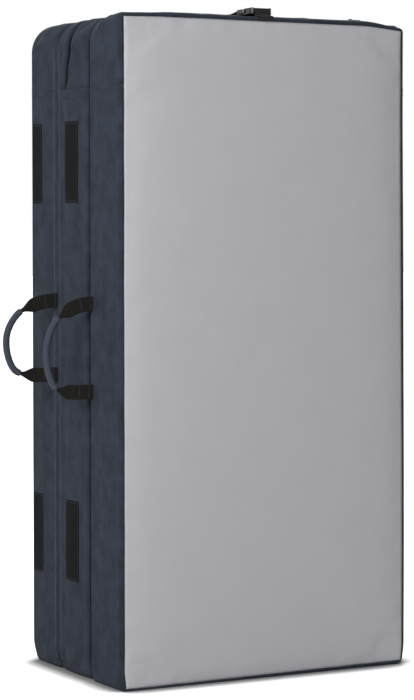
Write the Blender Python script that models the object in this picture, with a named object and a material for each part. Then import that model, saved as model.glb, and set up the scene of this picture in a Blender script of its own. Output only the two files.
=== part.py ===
"""Bouldering crash pad: three foam panels in a Z fold, standing closed on its end.

X is the width with the handles at -X, Y the depth with the front face at -Y, Z is up.
The origin is on the floor under the centre of the middle panel. Lengths are in metres.
"""

import math

import bmesh
import bpy
from mathutils import Vector

# Panels
panel_width = 0.557
panel_height = 1.131
seam_thickness = 0.118
rear_seam_thickness = 0.106
inner_crown = 0.0024
outer_crown = 0.0050
crown_reach = 0.120
panel_gap = 0.0006
edge_radius = 0.009
seam_inset = 0.006
side_bulge = 0.003
top_bulge = 0.007
fabric = 0.001
clearance = 0.0003
corner_radius = 0.048
front_corner_radius = 0.014
bottom_corner_radius = 0.026
cross_seam_drop = 0.119

# Foam
face_foam = 0.025
base_foam = 0.012
foam_inset = 0.0024
foam_edge_inset = 0.0075

# Zips
zip_width = 0.016
zip_recess = 0.0025
zip_chain = 0.0012
zip_offset = 0.009
zip_end_offset = 0.020
zip_tip_width = 0.0016
zip_end_inset = 0.004
slider_length = 0.012
slider_width = 0.007
slider_height = 0.003
pull_length = 0.022
pull_thickness = 0.0012
slider_wall_inset = 0.075

# Hinges
tape_half_width = 0.013
tape_thickness = 0.0012
tape_end_inset = 0.060
grip_radius = 0.006
hinge_slack = 0.0006

# Hook-and-loop patches
patch_width = 0.055
rear_patch_width = 0.042
patch_height = 0.140
patch_thickness = 0.0016
patch_bottom_distance = 0.163
patch_top_distance = 0.174
middle_patch_seam_distance = 0.057
rear_patch_seam_distance = 0.081

# Carry handles
webbing_width = 0.025
webbing_thickness = 0.0024
rear_handle_span = 0.129
rear_handle_reach = 0.097
rear_handle_height = 0.583
front_handle_span = 0.149
front_handle_reach = 0.086
front_handle_height = 0.571
handle_run = 0.052
core_radius = 0.0036
grip_length = 0.130
front_handle_step = 0.0165
handle_pivot_inset = 0.0030

# Closure strap and buckles
strap_width = 0.030
strap_thickness = 0.0016
buckle_width = 0.040
buckle_thickness = 0.011
female_length = 0.031
male_length = 0.024
buckle_setback = 0.016
buckle_wall = 0.0022
buckle_bevel = 0.0016
socket_depth = 0.017
prong_length = 0.015
prong_width = 0.0045
guide_width = 0.0050
window_length = 0.010
bar_length = 0.0042
slot_length = 0.0052
strap_tail = 0.060

# Shoulder harness and waist belt
strap_spacing = 0.150
pad_width = 0.066
pad_thickness = 0.012
pad_top_height = 0.930
pad_bottom_height = 0.500
pad_bow = 0.046
yoke_width = 0.290
yoke_height = 0.070
yoke_thickness = 0.0016
adjuster_width = 0.036
adjuster_length = 0.030
adjuster_thickness = 0.005
lower_webbing_bow = 0.030
tab_height = 0.100
tab_spread = 0.360
tab_size = 0.060
tab_thickness = 0.0030
belt_height = 0.400
belt_span = 0.340
belt_droop = 0.045

# Worked out from the sizes above
half_width = panel_width / 2
half_seam = seam_thickness / 2
rear_half_seam = rear_seam_thickness / 2
pitch = seam_thickness + 2 * inner_crown + panel_gap
rear_middle = pitch - half_seam + rear_half_seam
wall_depth = edge_radius * math.cos(math.asin(1 - seam_inset / edge_radius))
cross_height = panel_height - cross_seam_drop
rear_face = rear_middle + rear_half_seam + outer_crown
left_axis_x = -(half_width + side_bulge + grip_radius + hinge_slack)
right_axis_x = half_width + side_bulge + patch_thickness + clearance + 2 * hinge_slack

# Shapes as shares of the sizes that they follow
crown_shares = (0.0, 0.12, 0.3, 0.6, 1.0)
handle_route_shares = (
    (0.0, 1.0),
    (0.12, 1.0),
    (0.34, 0.95),
    (0.58, 0.82),
    (0.76, 0.68),
    (0.92, 0.38),
    (1.0, 0.02),
    (0.98, -0.42),
    (0.87, -0.80),
    (0.70, -0.95),
    (0.40, -1.0),
    (0.14, -1.0),
    (0.0, -1.0),
)
pad_route_shares = (
    (0.0, 0.0),
    (0.0, 0.06),
    (0.14, 0.13),
    (0.42, 0.26),
    (0.80, 0.46),
    (0.94, 0.66),
    (0.66, 0.84),
    (0.36, 1.0),
)
pad_end_shares = (0.45, 0.45, 0.8, 1.0)
tape_place_shares = (-1.0, -0.5, 0.0, 0.5, 1.0)
tape_dip_shares = (0.0, 0.15, 1.0, 0.15, 0.0)
lower_route_shares = ((0.33, 0.6), (0.67, 0.5))

# Steps of round stretches
corner_steps = 5
edge_steps = 3
wrap_steps = 6
handle_rings = 40
grip_sides = 10


def clear_scene():
    for obj in list(bpy.data.objects):
        bpy.data.objects.remove(obj, do_unlink=True)


def make_material(name, colour, roughness, metallic=0.0):
    material = bpy.data.materials.new(name)
    material.use_nodes = True
    shader = material.node_tree.nodes["Principled BSDF"]
    shader.inputs["Base Color"].default_value = (*colour, 1.0)
    shader.inputs["Roughness"].default_value = roughness
    shader.inputs["Metallic"].default_value = metallic
    return material


def make_frame(name, location, parent=None):
    """An empty that a body hangs on; its origin lies on the body's joint axis."""
    empty = bpy.data.objects.new(name, None)
    bpy.context.scene.collection.objects.link(empty)
    empty["place"] = location
    if parent is None:
        empty.location = location
    else:
        empty.parent = parent
        empty.location = Vector(location) - Vector(parent["place"])
    return empty


def make_object(name, points, faces, material, frame, smooth=True):
    """A mesh object from points in the part's frame, hung on a body's empty."""
    origin = Vector(frame["place"])
    mesh = bpy.data.meshes.new(name)
    mesh.from_pydata([Vector(point) - origin for point in points], [], faces)
    work = bmesh.new()
    work.from_mesh(mesh)
    bmesh.ops.recalc_face_normals(work, faces=work.faces)
    work.to_mesh(mesh)
    work.free()
    mesh.materials.append(material)
    if smooth:
        mesh.shade_smooth()
        mesh.set_sharp_from_angle(angle=math.radians(40))
    obj = bpy.data.objects.new(name, mesh)
    bpy.context.scene.collection.objects.link(obj)
    obj.parent = frame
    return obj


def loft(name, rings, material, frame, smooth=True):
    """A closed solid through rings of as many points each, with a face over both ends."""
    count = len(rings[0])
    points = [point for ring in rings for point in ring]
    faces = [list(range(count))]
    for ring in range(len(rings) - 1):
        low = ring * count
        for side in range(count):
            after = (side + 1) % count
            faces.append((low + side, low + after, low + count + after, low + count + side))
    last = (len(rings) - 1) * count
    faces.append([last + side for side in reversed(range(count))])
    return make_object(name, points, faces, material, frame, smooth)


def tube(name, outer_rings, inner_rings, material, frame):
    """A closed solid with a bore, from outer and inner rings of as many points each."""
    count = len(outer_rings[0])
    total = len(outer_rings)
    rings = list(outer_rings) + list(reversed(inner_rings))
    points = [point for ring in rings for point in ring]
    faces = []
    for ring in range(2 * total):
        low = ring * count
        high = ((ring + 1) % (2 * total)) * count
        for side in range(count):
            after = (side + 1) % count
            faces.append((low + side, low + after, high + after, high + side))
    return make_object(name, points, faces, material, frame)


def ribbon(name, path, across, width, thickness, material, frame):
    """Webbing: a flat strip along a path, its width along the vector across."""
    rings = []
    across = Vector(across)
    for index, point in enumerate(path):
        before = Vector(path[max(index - 1, 0)])
        after = Vector(path[min(index + 1, len(path) - 1)])
        normal = (after - before).cross(across).normalized() * (thickness / 2)
        side = across * (width / 2)
        point = Vector(point)
        rings.append(
            [point - side - normal, point + side - normal, point + side + normal, point - side + normal]
        )
    return loft(name, rings, material, frame, smooth=False)


def smooth_route(points, steps):
    """Points along a curve through the given points, the same number in each stretch."""
    route = []
    points = [Vector(point) for point in points]
    for index in range(len(points) - 1):
        first = points[max(index - 1, 0)]
        start = points[index]
        end = points[index + 1]
        last = points[min(index + 2, len(points) - 1)]
        for step in range(steps):
            share = step / steps
            tangent_in = (end - first) / 2
            tangent_out = (last - start) / 2
            square = share * share
            cube = square * share
            route.append(
                start * (2 * cube - 3 * square + 1)
                + tangent_in * (cube - 2 * square + share)
                + end * (3 * square - 2 * cube)
                + tangent_out * (cube - square)
            )
    route.append(points[-1])
    return route


def spaced(route, count):
    """The route again as count points, equally far apart."""
    lengths = [0.0]
    for index in range(1, len(route)):
        lengths.append(lengths[-1] + (route[index] - route[index - 1]).length)
    found = []
    segment = 1
    for step in range(count):
        wanted = lengths[-1] * step / (count - 1)
        while segment < len(route) - 1 and lengths[segment] < wanted:
            segment += 1
        stretch = lengths[segment] - lengths[segment - 1]
        share = (wanted - lengths[segment - 1]) / stretch
        found.append(route[segment - 1].lerp(route[segment], min(max(share, 0.0), 1.0)))
    return found, lengths[-1]


def wrap(centre_along, centre_up, radius, start, end):
    """Points of an arc round a bar, as (along, up) pairs, with angles in degrees."""
    arc = []
    for step in range(wrap_steps + 1):
        angle = math.radians(start + (end - start) * step / wrap_steps)
        arc.append((centre_along + radius * math.cos(angle), centre_up + radius * math.sin(angle)))
    return arc


# Panel outline: places round a panel, seen from the front


def corner_places(side, end):
    """The stations of one rounded corner, from the wall to the top or the bottom."""
    quarter = [math.pi / 2 * step / corner_steps for step in range(corner_steps + 1)]
    return [("corner", side, end, angle) for angle in quarter]


def outline_point(place, inset, radius):
    """Where a station lies, as (x, z), and the direction in which the wall faces there."""
    kind, side, end, value = place
    if kind == "wall":
        return side * (half_width - inset), value, side, 0.0
    if kind == "run":
        height = panel_height - inset if end > 0 else inset
        return value, height, 0.0, end
    middle_x = side * (half_width - radius)
    middle_z = panel_height - radius if end > 0 else radius
    across = math.cos(value)
    up = math.sin(value)
    reach = max(radius - inset, clearance)
    if inset > radius - clearance:
        middle_x = side * (half_width - inset - clearance)
        middle_z = panel_height - inset - clearance if end > 0 else inset + clearance
    return middle_x + side * across * reach, middle_z + end * up * reach, side * across, end * up


def full_outline():
    """All the stations round a panel, in order."""
    return (
        corner_places(-1, 1)
        + list(reversed(corner_places(1, 1)))
        + corner_places(1, -1)
        + list(reversed(corner_places(-1, -1)))
    )


def wall_outline():
    """The stations of the plain boxing: left wall, bottom and right wall."""
    top = cross_height - clearance
    return (
        [("wall", -1, 0, top)]
        + corner_places(-1, -1)
        + list(reversed(corner_places(1, -1)))
        + [("wall", 1, 0, top)]
    )


def zip_outline():
    """The stations of the zip boxing: up the left wall, over the top and down the right wall."""
    taper = cross_height + zip_end_inset
    open_end = cross_height + seam_inset + webbing_width
    straight = half_width - corner_radius - seam_inset
    return (
        [("wall", -1, 0, cross_height), ("wall", -1, 0, taper), ("wall", -1, 0, open_end)]
        + corner_places(-1, 1)
        + [("run", 0, 1, -straight), ("run", 0, 1, straight)]
        + list(reversed(corner_places(1, 1)))
        + [("wall", 1, 0, open_end), ("wall", 1, 0, taper), ("wall", 1, 0, cross_height)]
    )


def bulge_share(depth, half=half_seam):
    """How much of its bulge a wall has at a depth from the middle of a panel of this half depth."""
    return math.sin(math.pi * min(max((depth + half) / (2 * half), 0.0), 1.0))


def wall_bulge(across, up):
    """The largest bulge of a wall that faces this way. The bottom is flat where it stands."""
    return side_bulge * abs(across) + top_bulge * max(up, 0.0)


def edge_profile(radius_less, half=half_seam):
    """The edge's round from the front seam to the wall, as (depth, inset) pairs."""
    start = math.asin(1 - seam_inset / edge_radius)
    radius = edge_radius - radius_less
    pairs = []
    for step in range(edge_steps + 1):
        angle = start + (math.pi / 2 - start) * step / edge_steps
        depth = -half + wall_depth - radius * math.cos(angle)
        pairs.append((depth, edge_radius - radius * math.sin(angle)))
    return pairs


def wall_profile(half, less, groove=None):
    """The boxing's section from the front seam to the back seam, as (depth, inset) pairs.

    half is half the panel's depth; less is how far inside the outer surface the section runs;
    groove is (depth, width, recess) of the zip.
    """
    front = edge_profile(less, half)
    back = [(-depth, inset) for depth, inset in reversed(front)]
    quarter = half / 2
    if groove is None:
        return front + [(-quarter, less), (0.0, less), (quarter, less)] + back
    depth, width, recess = groove
    low = depth - width / 2 - less
    high = depth + width / 2 + less
    return (
        front
        + [(-quarter, less), (low, less), (low, less + recess)]
        + [(high, less + recess), (high, less), ((high + half) / 2, less)]
        + back
    )


def corner_at(panel, place, depth):
    """The radius of a panel's corner at a depth: the top ones are rounder than those it stands on."""
    share = (depth + panel["half"]) / (2 * panel["half"])
    radius = panel["front_radius"] + (panel["back_radius"] - panel["front_radius"]) * share
    return min(radius, bottom_corner_radius) if place[2] < 0 else radius


def panel_point(panel, place, depth, inset):
    """A point on or in a panel's wall, with its bulge and its own corner radii."""
    x, z, across, up = outline_point(place, inset, corner_at(panel, place, depth))
    bulge = wall_bulge(across, up) * bulge_share(depth, panel["half"])
    return x + across * bulge, panel["middle"] + depth, z + up * bulge


def face_rings(panel, side, inset_start, crown, shift):
    """Rings from the seam to the flat middle of a crowned face; side is -1 at the front."""
    rings = []
    for share in crown_shares:
        inset = inset_start + crown_reach * share
        height = panel["half"] + crown * math.sin(math.pi / 2 * share) - shift
        ring = []
        for place in full_outline():
            radius = corner_at(panel, place, side * panel["half"])
            x, z, _, _ = outline_point(place, inset, radius)
            ring.append((x, panel["middle"] + side * height, z))
        rings.append(ring)
    return rings


def add_face(panel, side, name, material):
    """A cover sheet with its crown, from seam to seam."""
    crown = panel["front_crown"] if side < 0 else panel["back_crown"]
    start = seam_inset + 2 * clearance
    outer = face_rings(panel, side, start, crown, 0.0)
    inner = face_rings(panel, side, start, crown, fabric)
    return loft(name, list(reversed(outer)) + inner, material, panel["frame"])


def add_boxing(panel, material):
    half = panel["half"]
    rings = []
    for place in wall_outline():
        section = wall_profile(half, 0.0) + list(reversed(wall_profile(half, fabric)))
        rings.append([panel_point(panel, place, depth, inset) for depth, inset in section])
    return loft(panel["name"] + "_boxing", rings, material, panel["frame"])


def groove_at(panel, index, count):
    """The zip groove's width, recess and depth at a station; it closes to a slit at its ends."""
    from_end = min(index, count - 1 - index)
    closed = 1 if panel["zip_round_corners"] else 3 + corner_steps
    offset = zip_end_offset if panel["zip_round_corners"] and from_end < 3 else zip_offset
    if from_end <= closed:
        return zip_tip_width, clearance / 2, offset
    return zip_width, zip_recess, offset


def add_zip_boxing(panel, material):
    half = panel["half"]
    places = zip_outline()
    rings = []
    for index, place in enumerate(places):
        width, recess, offset = groove_at(panel, index, len(places))
        groove = (offset, width, recess)
        outer = wall_profile(half, 0.0, groove)
        section = outer + list(reversed(wall_profile(half, fabric, groove)))
        rings.append([panel_point(panel, place, depth, inset) for depth, inset in section])
    return loft(panel["name"] + "_zip_boxing", rings, material, panel["frame"])


def add_zip(panel, material):
    """The zip's chain on its tape, lying in the groove of the zip boxing."""
    places = zip_outline()
    rings = []
    for index, place in enumerate(places):
        width, recess, offset = groove_at(panel, index, len(places))
        if recess < zip_recess:
            continue
        half = width / 2 - clearance
        floor = recess - clearance
        crest = floor - zip_chain
        section = [
            (offset - half, floor),
            (offset - half / 2, crest),
            (offset + half / 2, crest),
            (offset + half, floor),
        ]
        rings.append([panel_point(panel, place, depth, inset) for depth, inset in section])
    return loft(panel["name"] + "_zip", rings, material, panel["frame"])


def slider_floor(panel):
    """The height of the chain's crest on the top run, where the slider rests."""
    crest = top_bulge * bulge_share(zip_offset, panel["half"])
    return panel_height + crest - zip_recess + clearance + zip_chain


def add_slider(panel, material, frame):
    """A zip slider with its pull lying along the wall."""
    bottom = slider_floor(panel) + clearance
    top = bottom + slider_height
    left = half_width - slider_wall_inset
    right = left + slider_length
    neck = left + slider_length / 3
    outline = [
        (left, bottom),
        (right, bottom),
        (right, top),
        (neck + 2 * pull_thickness, top),
        (neck + 2 * pull_thickness, top + pull_thickness),
        (left + pull_length + slider_length / 3, top + pull_thickness),
        (left + pull_length + slider_length / 3, top + 2 * pull_thickness),
        (neck, top + 2 * pull_thickness),
        (neck, top),
        (left, top),
    ]
    middle = panel["middle"] + zip_offset
    rings = []
    for side in (-1, 1):
        rings.append([(x, middle + side * slider_width / 2, z) for x, z in outline])
    return loft(panel["name"] + "_zip_slider", rings, material, frame, smooth=False)


def foam_ring(panel, depth, inset):
    """A ring of a foam sheet's edge at a depth from the panel's middle."""
    ring = []
    for place in full_outline():
        x, z, _, _ = outline_point(place, inset, corner_at(panel, place, depth))
        ring.append((x, panel["middle"] + depth, z))
    return ring


def add_foam(panel, materials):
    """Closed-cell foam under the face, an open-cell core and closed-cell foam at the back."""
    front_sheet = face_foam if panel["face_side"] < 0 else base_foam
    back_sheet = base_foam if panel["face_side"] < 0 else face_foam
    half = panel["half"]
    front_split = -half + front_sheet
    back_split = half - back_sheet
    for side, split in ((-1, front_split), (1, back_split)):
        crown = panel["front_crown"] if side < 0 else panel["back_crown"]
        rings = list(reversed(face_rings(panel, side, foam_edge_inset, crown, fabric + clearance)))
        rings.append(foam_ring(panel, side * (half - edge_radius), foam_inset))
        rings.append(foam_ring(panel, split + side * clearance / 2, foam_inset))
        kind = "face" if side == panel["face_side"] else "base"
        loft(panel["name"] + "_foam_" + kind, rings, materials[kind], panel["frame"])
    rings = [
        foam_ring(panel, front_split + clearance / 2, foam_inset),
        foam_ring(panel, back_split - clearance / 2, foam_inset),
    ]
    loft(panel["name"] + "_foam_core", rings, materials["core"], panel["frame"])


def add_patch(name, panel, side, depth, width, height, material):
    """A hook-and-loop patch that follows the bulge of a side wall."""
    outer = []
    inner = []
    steps = 4
    for step in range(steps + 1):
        place = depth - width / 2 + width * step / steps
        wall = half_width + side_bulge * bulge_share(place, panel["half"]) + clearance
        inner.append((side * wall, panel["middle"] + place))
        outer.append((side * (wall + patch_thickness), panel["middle"] + place))
    section = inner + list(reversed(outer))
    rings = [[(x, y, height + end * patch_height / 2) for x, y in section] for end in (-1, 1)]
    return loft(name, rings, material, panel["frame"], smooth=False)


def add_patches(panels, materials):
    """The patches of the walls that meet when the pad lies open."""
    heights = {"lower": patch_bottom_distance + patch_height / 2}
    heights["upper"] = panel_height - patch_top_distance - patch_height / 2
    near = pitch / 2 - middle_patch_seam_distance
    far = rear_patch_seam_distance - (rear_middle - pitch / 2)
    rows = (
        ("rear_left", panels["rear"], -1, far, rear_patch_width, "hook"),
        ("middle_left", panels["middle"], -1, near, patch_width, "loop"),
        ("middle_right", panels["middle"], 1, -near, patch_width, "hook"),
        ("front_right", panels["front"], 1, near, patch_width, "loop"),
    )
    for place, panel, side, depth, width, kind in rows:
        for level, height in heights.items():
            name = place + "_patch_" + level
            add_patch(name, panel, side, depth, width, height, materials[kind])


def tape_back(side):
    """How far out a hinge tape's inner surface lies: on the walls at both of its edges."""
    reach = tape_half_width - (pitch / 2 - half_seam)
    halves = (half_seam, rear_half_seam) if side < 0 else (half_seam,)
    bulge = side_bulge * max(bulge_share(half - reach, half) for half in halves)
    return side * (half_width + bulge + clearance)


def add_hinge_tape(name, side, boundary, material, frame):
    """The cloth hinge: a tape over the crease between two walls, pressed into it a little."""
    back = tape_back(side)
    stations = list(zip(tape_place_shares, tape_dip_shares))
    section = []
    for share, dip in stations:
        section.append((back - side * tape_thickness * dip, boundary + tape_half_width * share))
    for share, dip in reversed(stations):
        out = back + side * tape_thickness * (1 - dip)
        section.append((out, boundary + tape_half_width * share))
    low = tape_end_inset
    high = panel_height - tape_end_inset
    rings = [[(x, y, z) for x, y in section] for z in (low, high)]
    return loft(name, rings, material, frame, smooth=False)


def handle_section(point, along, half_high, half_thick):
    """A ring across a handle's route: a flat strip in the handle's plane, or round where folded."""
    normal = Vector((-along.z, 0.0, along.x)).normalized()
    roundness = half_thick / half_high
    ring = []
    for side in range(grip_sides):
        angle = 2 * math.pi * (side + 1 / 2) / grip_sides
        across = math.copysign(abs(math.cos(angle)) ** roundness, math.cos(angle))
        out = math.copysign(abs(math.sin(angle)) ** roundness, math.sin(angle))
        ring.append(point + normal * half_high * across + Vector((0.0, half_thick * out, 0.0)))
    return ring


def add_handle(name, root, span, reach, materials, frame):
    """A carry handle: one webbing, folded to a core in its middle, with a grip sleeve on it."""
    root_x, plane_y, height = root
    corners = []
    for out, up in handle_route_shares:
        corners.append((root_x - reach * out, plane_y, height + span / 2 * up))
    route, length = spaced(smooth_route(corners, 6), handle_rings)
    grip_start = (length - grip_length) / 2
    webbing = []
    outer = []
    inner = []
    for index, point in enumerate(route):
        before = route[max(index - 1, 0)]
        after = route[min(index + 1, handle_rings - 1)]
        along = (after - before).normalized()
        travel = length * index / (handle_rings - 1)
        from_end = min(travel, length - travel)
        share = min(max(from_end / min(handle_run, grip_start), 0.0), 1.0)
        folded = share * share * (3 - 2 * share)
        half_high = webbing_width / 2 + (core_radius - webbing_width / 2) * folded
        half_thick = webbing_thickness / 2 + (core_radius - webbing_thickness / 2) * folded
        webbing.append(handle_section(point, along, half_high, half_thick))
        if from_end > grip_start:
            outer.append(handle_section(point, along, grip_radius, grip_radius))
            bore = core_radius + clearance
            inner.append(handle_section(point, along, bore, bore))
    loft(name + "_webbing", webbing, materials["webbing"], frame)
    tube(name + "_grip", outer, inner, materials["grip"], frame)


# Buckles, drawn flat: along is the way the male half goes in, across its width, up its thickness


def buckle_place(origin, along, across, up):
    """A function from a buckle's own (along, across, up) to the part's frame."""
    origin = Vector(origin)
    along = Vector(along)
    across = Vector(across)
    up = Vector(up)

    def place(a, b, c):
        return origin + along * a + across * b + up * c

    return place


def prism(name, outline, low, high, place, material, frame):
    """A plate from an outline of (along, across) pairs between two heights."""
    rings = [[place(a, b, height) for a, b in outline] for height in (low, high)]
    return loft(name, rings, material, frame, smooth=False)


def block(name, along, across, up, place, material, frame):
    """A box between two places on each of a buckle's own directions."""
    outline = [(along[0], across[0]), (along[1], across[0]), (along[1], across[1]), (along[0], across[1])]
    return prism(name, outline, up[0], up[1], place, material, frame)


def combine(obj, other, operation):
    """Cuts or joins another shape, which stays as a hidden helper."""
    other.hide_render = True
    other.display_type = "WIRE"
    modifier = obj.modifiers.new(other.name, "BOOLEAN")
    modifier.operation = operation
    modifier.solver = "EXACT"
    modifier.object = other


def bevelled_outline(half_wide, low, high, corner):
    """A rectangle of (along, across) pairs with cut corners."""
    return [
        (low + corner, -half_wide),
        (high - corner, -half_wide),
        (high, -half_wide + corner),
        (high, half_wide - corner),
        (high - corner, half_wide),
        (low + corner, half_wide),
        (low, half_wide - corner),
        (low, -half_wide + corner),
    ]


def add_female_buckle(name, place, material, frame):
    """The socket half: a bar for its webbing, a socket and two side windows."""
    half_wide = buckle_width / 2
    half_thick = buckle_thickness / 2
    outline = bevelled_outline(half_wide, 0.0, female_length, 2 * buckle_bevel)
    body = prism(name, outline, -half_thick, half_thick, place, material, frame)
    bevel = body.modifiers.new("edges", "BEVEL")
    bevel.width = buckle_bevel / 2
    bevel.segments = 1
    bevel.limit_method = "ANGLE"
    half_strap = strap_width / 2 + buckle_bevel / 2
    slot = (bar_length, bar_length + slot_length)
    through = (-buckle_thickness, buckle_thickness)
    combine(
        body,
        block(name + "_slot", slot, (-half_strap, half_strap), through, place, material, frame),
        "DIFFERENCE",
    )
    half_socket = half_thick - buckle_wall
    socket = (female_length - socket_depth, female_length + socket_depth)
    wide = half_wide - 2 * buckle_wall
    combine(
        body,
        block(name + "_socket", socket, (-wide, wide), (-half_socket, half_socket), place, material, frame),
        "DIFFERENCE",
    )
    window_end = female_length - buckle_wall
    window = (window_end - window_length, window_end)
    combine(
        body,
        block(
            name + "_window",
            window,
            (-buckle_width, buckle_width),
            (-half_socket + clearance, half_socket - clearance),
            place,
            material,
            frame,
        ),
        "DIFFERENCE",
    )
    return body


def add_male_buckle(name, place, material, frame):
    """The plug half: two sprung prongs, a guide between them, and a bar for its webbing."""
    half_wide = buckle_width / 2
    half_thick = buckle_thickness / 2
    half_prong = half_thick - buckle_wall - 2 * clearance
    near = female_length + clearance
    far = near + male_length
    tip = near - prong_length
    reach = half_wide - buckle_wall - clearance
    inside = reach - prong_width
    outline = [
        (far, -half_wide + buckle_bevel),
        (far, half_wide - buckle_bevel),
        (near + buckle_wall, half_wide),
        (near, half_wide - buckle_wall),
        (near, inside + prong_width / 2),
        (near - buckle_wall - clearance, inside + prong_width / 2),
        (near - buckle_wall - 2 * clearance, reach),
        (near - prong_length / 2, reach),
        (tip + buckle_bevel, inside),
        (tip, inside - prong_width / 2),
        (tip + buckle_bevel, inside - prong_width),
        (near, inside - prong_width / 2),
        (near, guide_width / 2),
        (tip + 2 * buckle_bevel, guide_width / 2),
        (tip + buckle_bevel, 0.0),
        (tip + 2 * buckle_bevel, -guide_width / 2),
        (near, -guide_width / 2),
        (near, -inside + prong_width / 2),
        (tip + buckle_bevel, -inside + prong_width),
        (tip, -inside + prong_width / 2),
        (tip + buckle_bevel, -inside),
        (near - prong_length / 2, -reach),
        (near - buckle_wall - 2 * clearance, -reach),
        (near - buckle_wall - clearance, -inside - prong_width / 2),
        (near, -inside - prong_width / 2),
        (near, -half_wide + buckle_wall),
        (near + buckle_wall, -half_wide),
    ]
    body = prism(name, outline, -half_prong, half_prong, place, material, frame)
    plate = prism(
        name + "_plate",
        bevelled_outline(half_wide - clearance, near + clearance, far - clearance, 2 * buckle_bevel),
        -half_thick + buckle_bevel / 2,
        half_thick - buckle_bevel / 2,
        place,
        material,
        frame,
    )
    combine(body, plate, "UNION")
    half_strap = strap_width / 2 + buckle_bevel / 2
    slot = (far - bar_length - slot_length, far - bar_length)
    through = (-buckle_thickness, buckle_thickness)
    combine(
        body,
        block(name + "_slot", slot, (-half_strap, half_strap), through, place, material, frame),
        "DIFFERENCE",
    )
    return body


def thin_bar(name, obj, along, place, material, frame):
    """Cuts a buckle's bar down to its own thickness, so that webbing passes over and under it."""
    half_strap = strap_width / 2 + buckle_bevel / 2
    for side, label in ((-1, "_under"), (1, "_over")):
        heights = sorted((side * bar_length / 2, side * buckle_thickness))
        combine(
            obj,
            block(name + label, along, (-half_strap, half_strap), heights, place, material, frame),
            "DIFFERENCE",
        )


def wrap_radius(bar_thickness):
    """How far from a bar's middle a webbing turns round it, with room at the bar's corners."""
    corner = math.hypot(bar_length, bar_thickness) / 2
    facet = math.cos(math.pi / 2 / wrap_steps)
    return (corner + clearance + strap_thickness / 2) / facet


def add_closure_strap(panels, materials):
    """The strap that holds the closed pad together, buckled on top of the front panel."""
    front = panels["front"]
    rear = panels["rear"]
    seam = front["middle"] - half_seam
    bottom = panel_height + top_bulge + clearance
    middle_height = bottom + buckle_thickness / 2
    origin = (0.0, seam + buckle_setback, middle_height)
    place = buckle_place(origin, (0.0, 1.0, 0.0), (1.0, 0.0, 0.0), (0.0, 0.0, 1.0))
    female = add_female_buckle(
        "closure_buckle_female", place, materials["plastic"], front["frame"]
    )
    overrun = -buckle_setback
    thin_bar("closure_female", female, (overrun, bar_length), place, materials["plastic"], front["frame"])
    male = add_male_buckle("closure_buckle_male", place, materials["plastic"], rear["frame"])
    far = female_length + clearance + male_length
    thin_bar(
        "closure_male",
        male,
        (far - bar_length, far + buckle_setback),
        place,
        materials["plastic"],
        rear["frame"],
    )
    lift = strap_thickness / 2 + clearance
    radius = wrap_radius(bar_length)
    loop_y = seam + buckle_setback + bar_length / 2
    layer = strap_thickness + 2 * clearance
    path = []
    for depth, inset in edge_profile(0.0):
        height = panel_height - inset + top_bulge * bulge_share(depth) + lift
        path.append((0.0, front["middle"] + depth - lift / 2, height))
    over = [(0.0, along, up + layer) for _, along, up in reversed(path[1:])]
    path += [(0.0, along, up) for along, up in wrap(loop_y, middle_height, radius, -90, 150)]
    path += over
    ribbon(
        "closure_strap_front",
        path,
        (1.0, 0.0, 0.0),
        strap_width,
        strap_thickness,
        materials["webbing"],
        front["frame"],
    )
    loop_y = seam + buckle_setback + far - bar_length / 2
    path = [(0.0, loop_y + strap_tail, middle_height - radius + layer)]
    path.append((0.0, loop_y + strap_tail / 2, middle_height - radius + layer + lift))
    path += [(0.0, along, up) for along, up in wrap(loop_y, middle_height, radius, 90, 270)]
    crest = panel_height + top_bulge + lift
    path.append((0.0, 0.0, crest))
    path.append((0.0, rear["middle"], crest))
    half = rear["half"]
    quarter = half / 2
    for depth in (quarter / 2, quarter):
        height = panel_height + top_bulge * bulge_share(depth, half) + lift
        path.append((0.0, rear["middle"] + depth + lift / 4, height + clearance))
    for depth, inset in reversed(edge_profile(0.0, half)):
        height = panel_height - inset + top_bulge * bulge_share(depth, half) + lift
        path.append((0.0, rear["middle"] - depth + lift / 2, height))
    ribbon(
        "closure_strap_rear",
        path,
        (1.0, 0.0, 0.0),
        strap_width,
        strap_thickness,
        materials["webbing"],
        rear["frame"],
    )


def shoulder_axis_depth():
    """Where the straps' top ends lie: sewn on the yoke, which lies on the rear face."""
    return rear_face + 2 * clearance + yoke_thickness + pad_thickness / 2 * pad_end_shares[0]


def pad_section(point, along, half_thick):
    """A ring of a shoulder strap: flat, with round edges."""
    normal = Vector((0.0, along.z, -along.y)).normalized()
    ring = []
    half_pad = pad_width / 2
    corner = half_thick / 2
    outline = (
        (-half_pad, -half_thick + corner),
        (-half_pad + corner, -half_thick),
        (half_pad - corner, -half_thick),
        (half_pad, -half_thick + corner),
        (half_pad, half_thick - corner),
        (half_pad - corner, half_thick),
        (-half_pad + corner, half_thick),
        (-half_pad, half_thick - corner),
    )
    for across, out in outline:
        ring.append(point + Vector((across, 0.0, 0.0)) + normal * out)
    return ring


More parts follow.
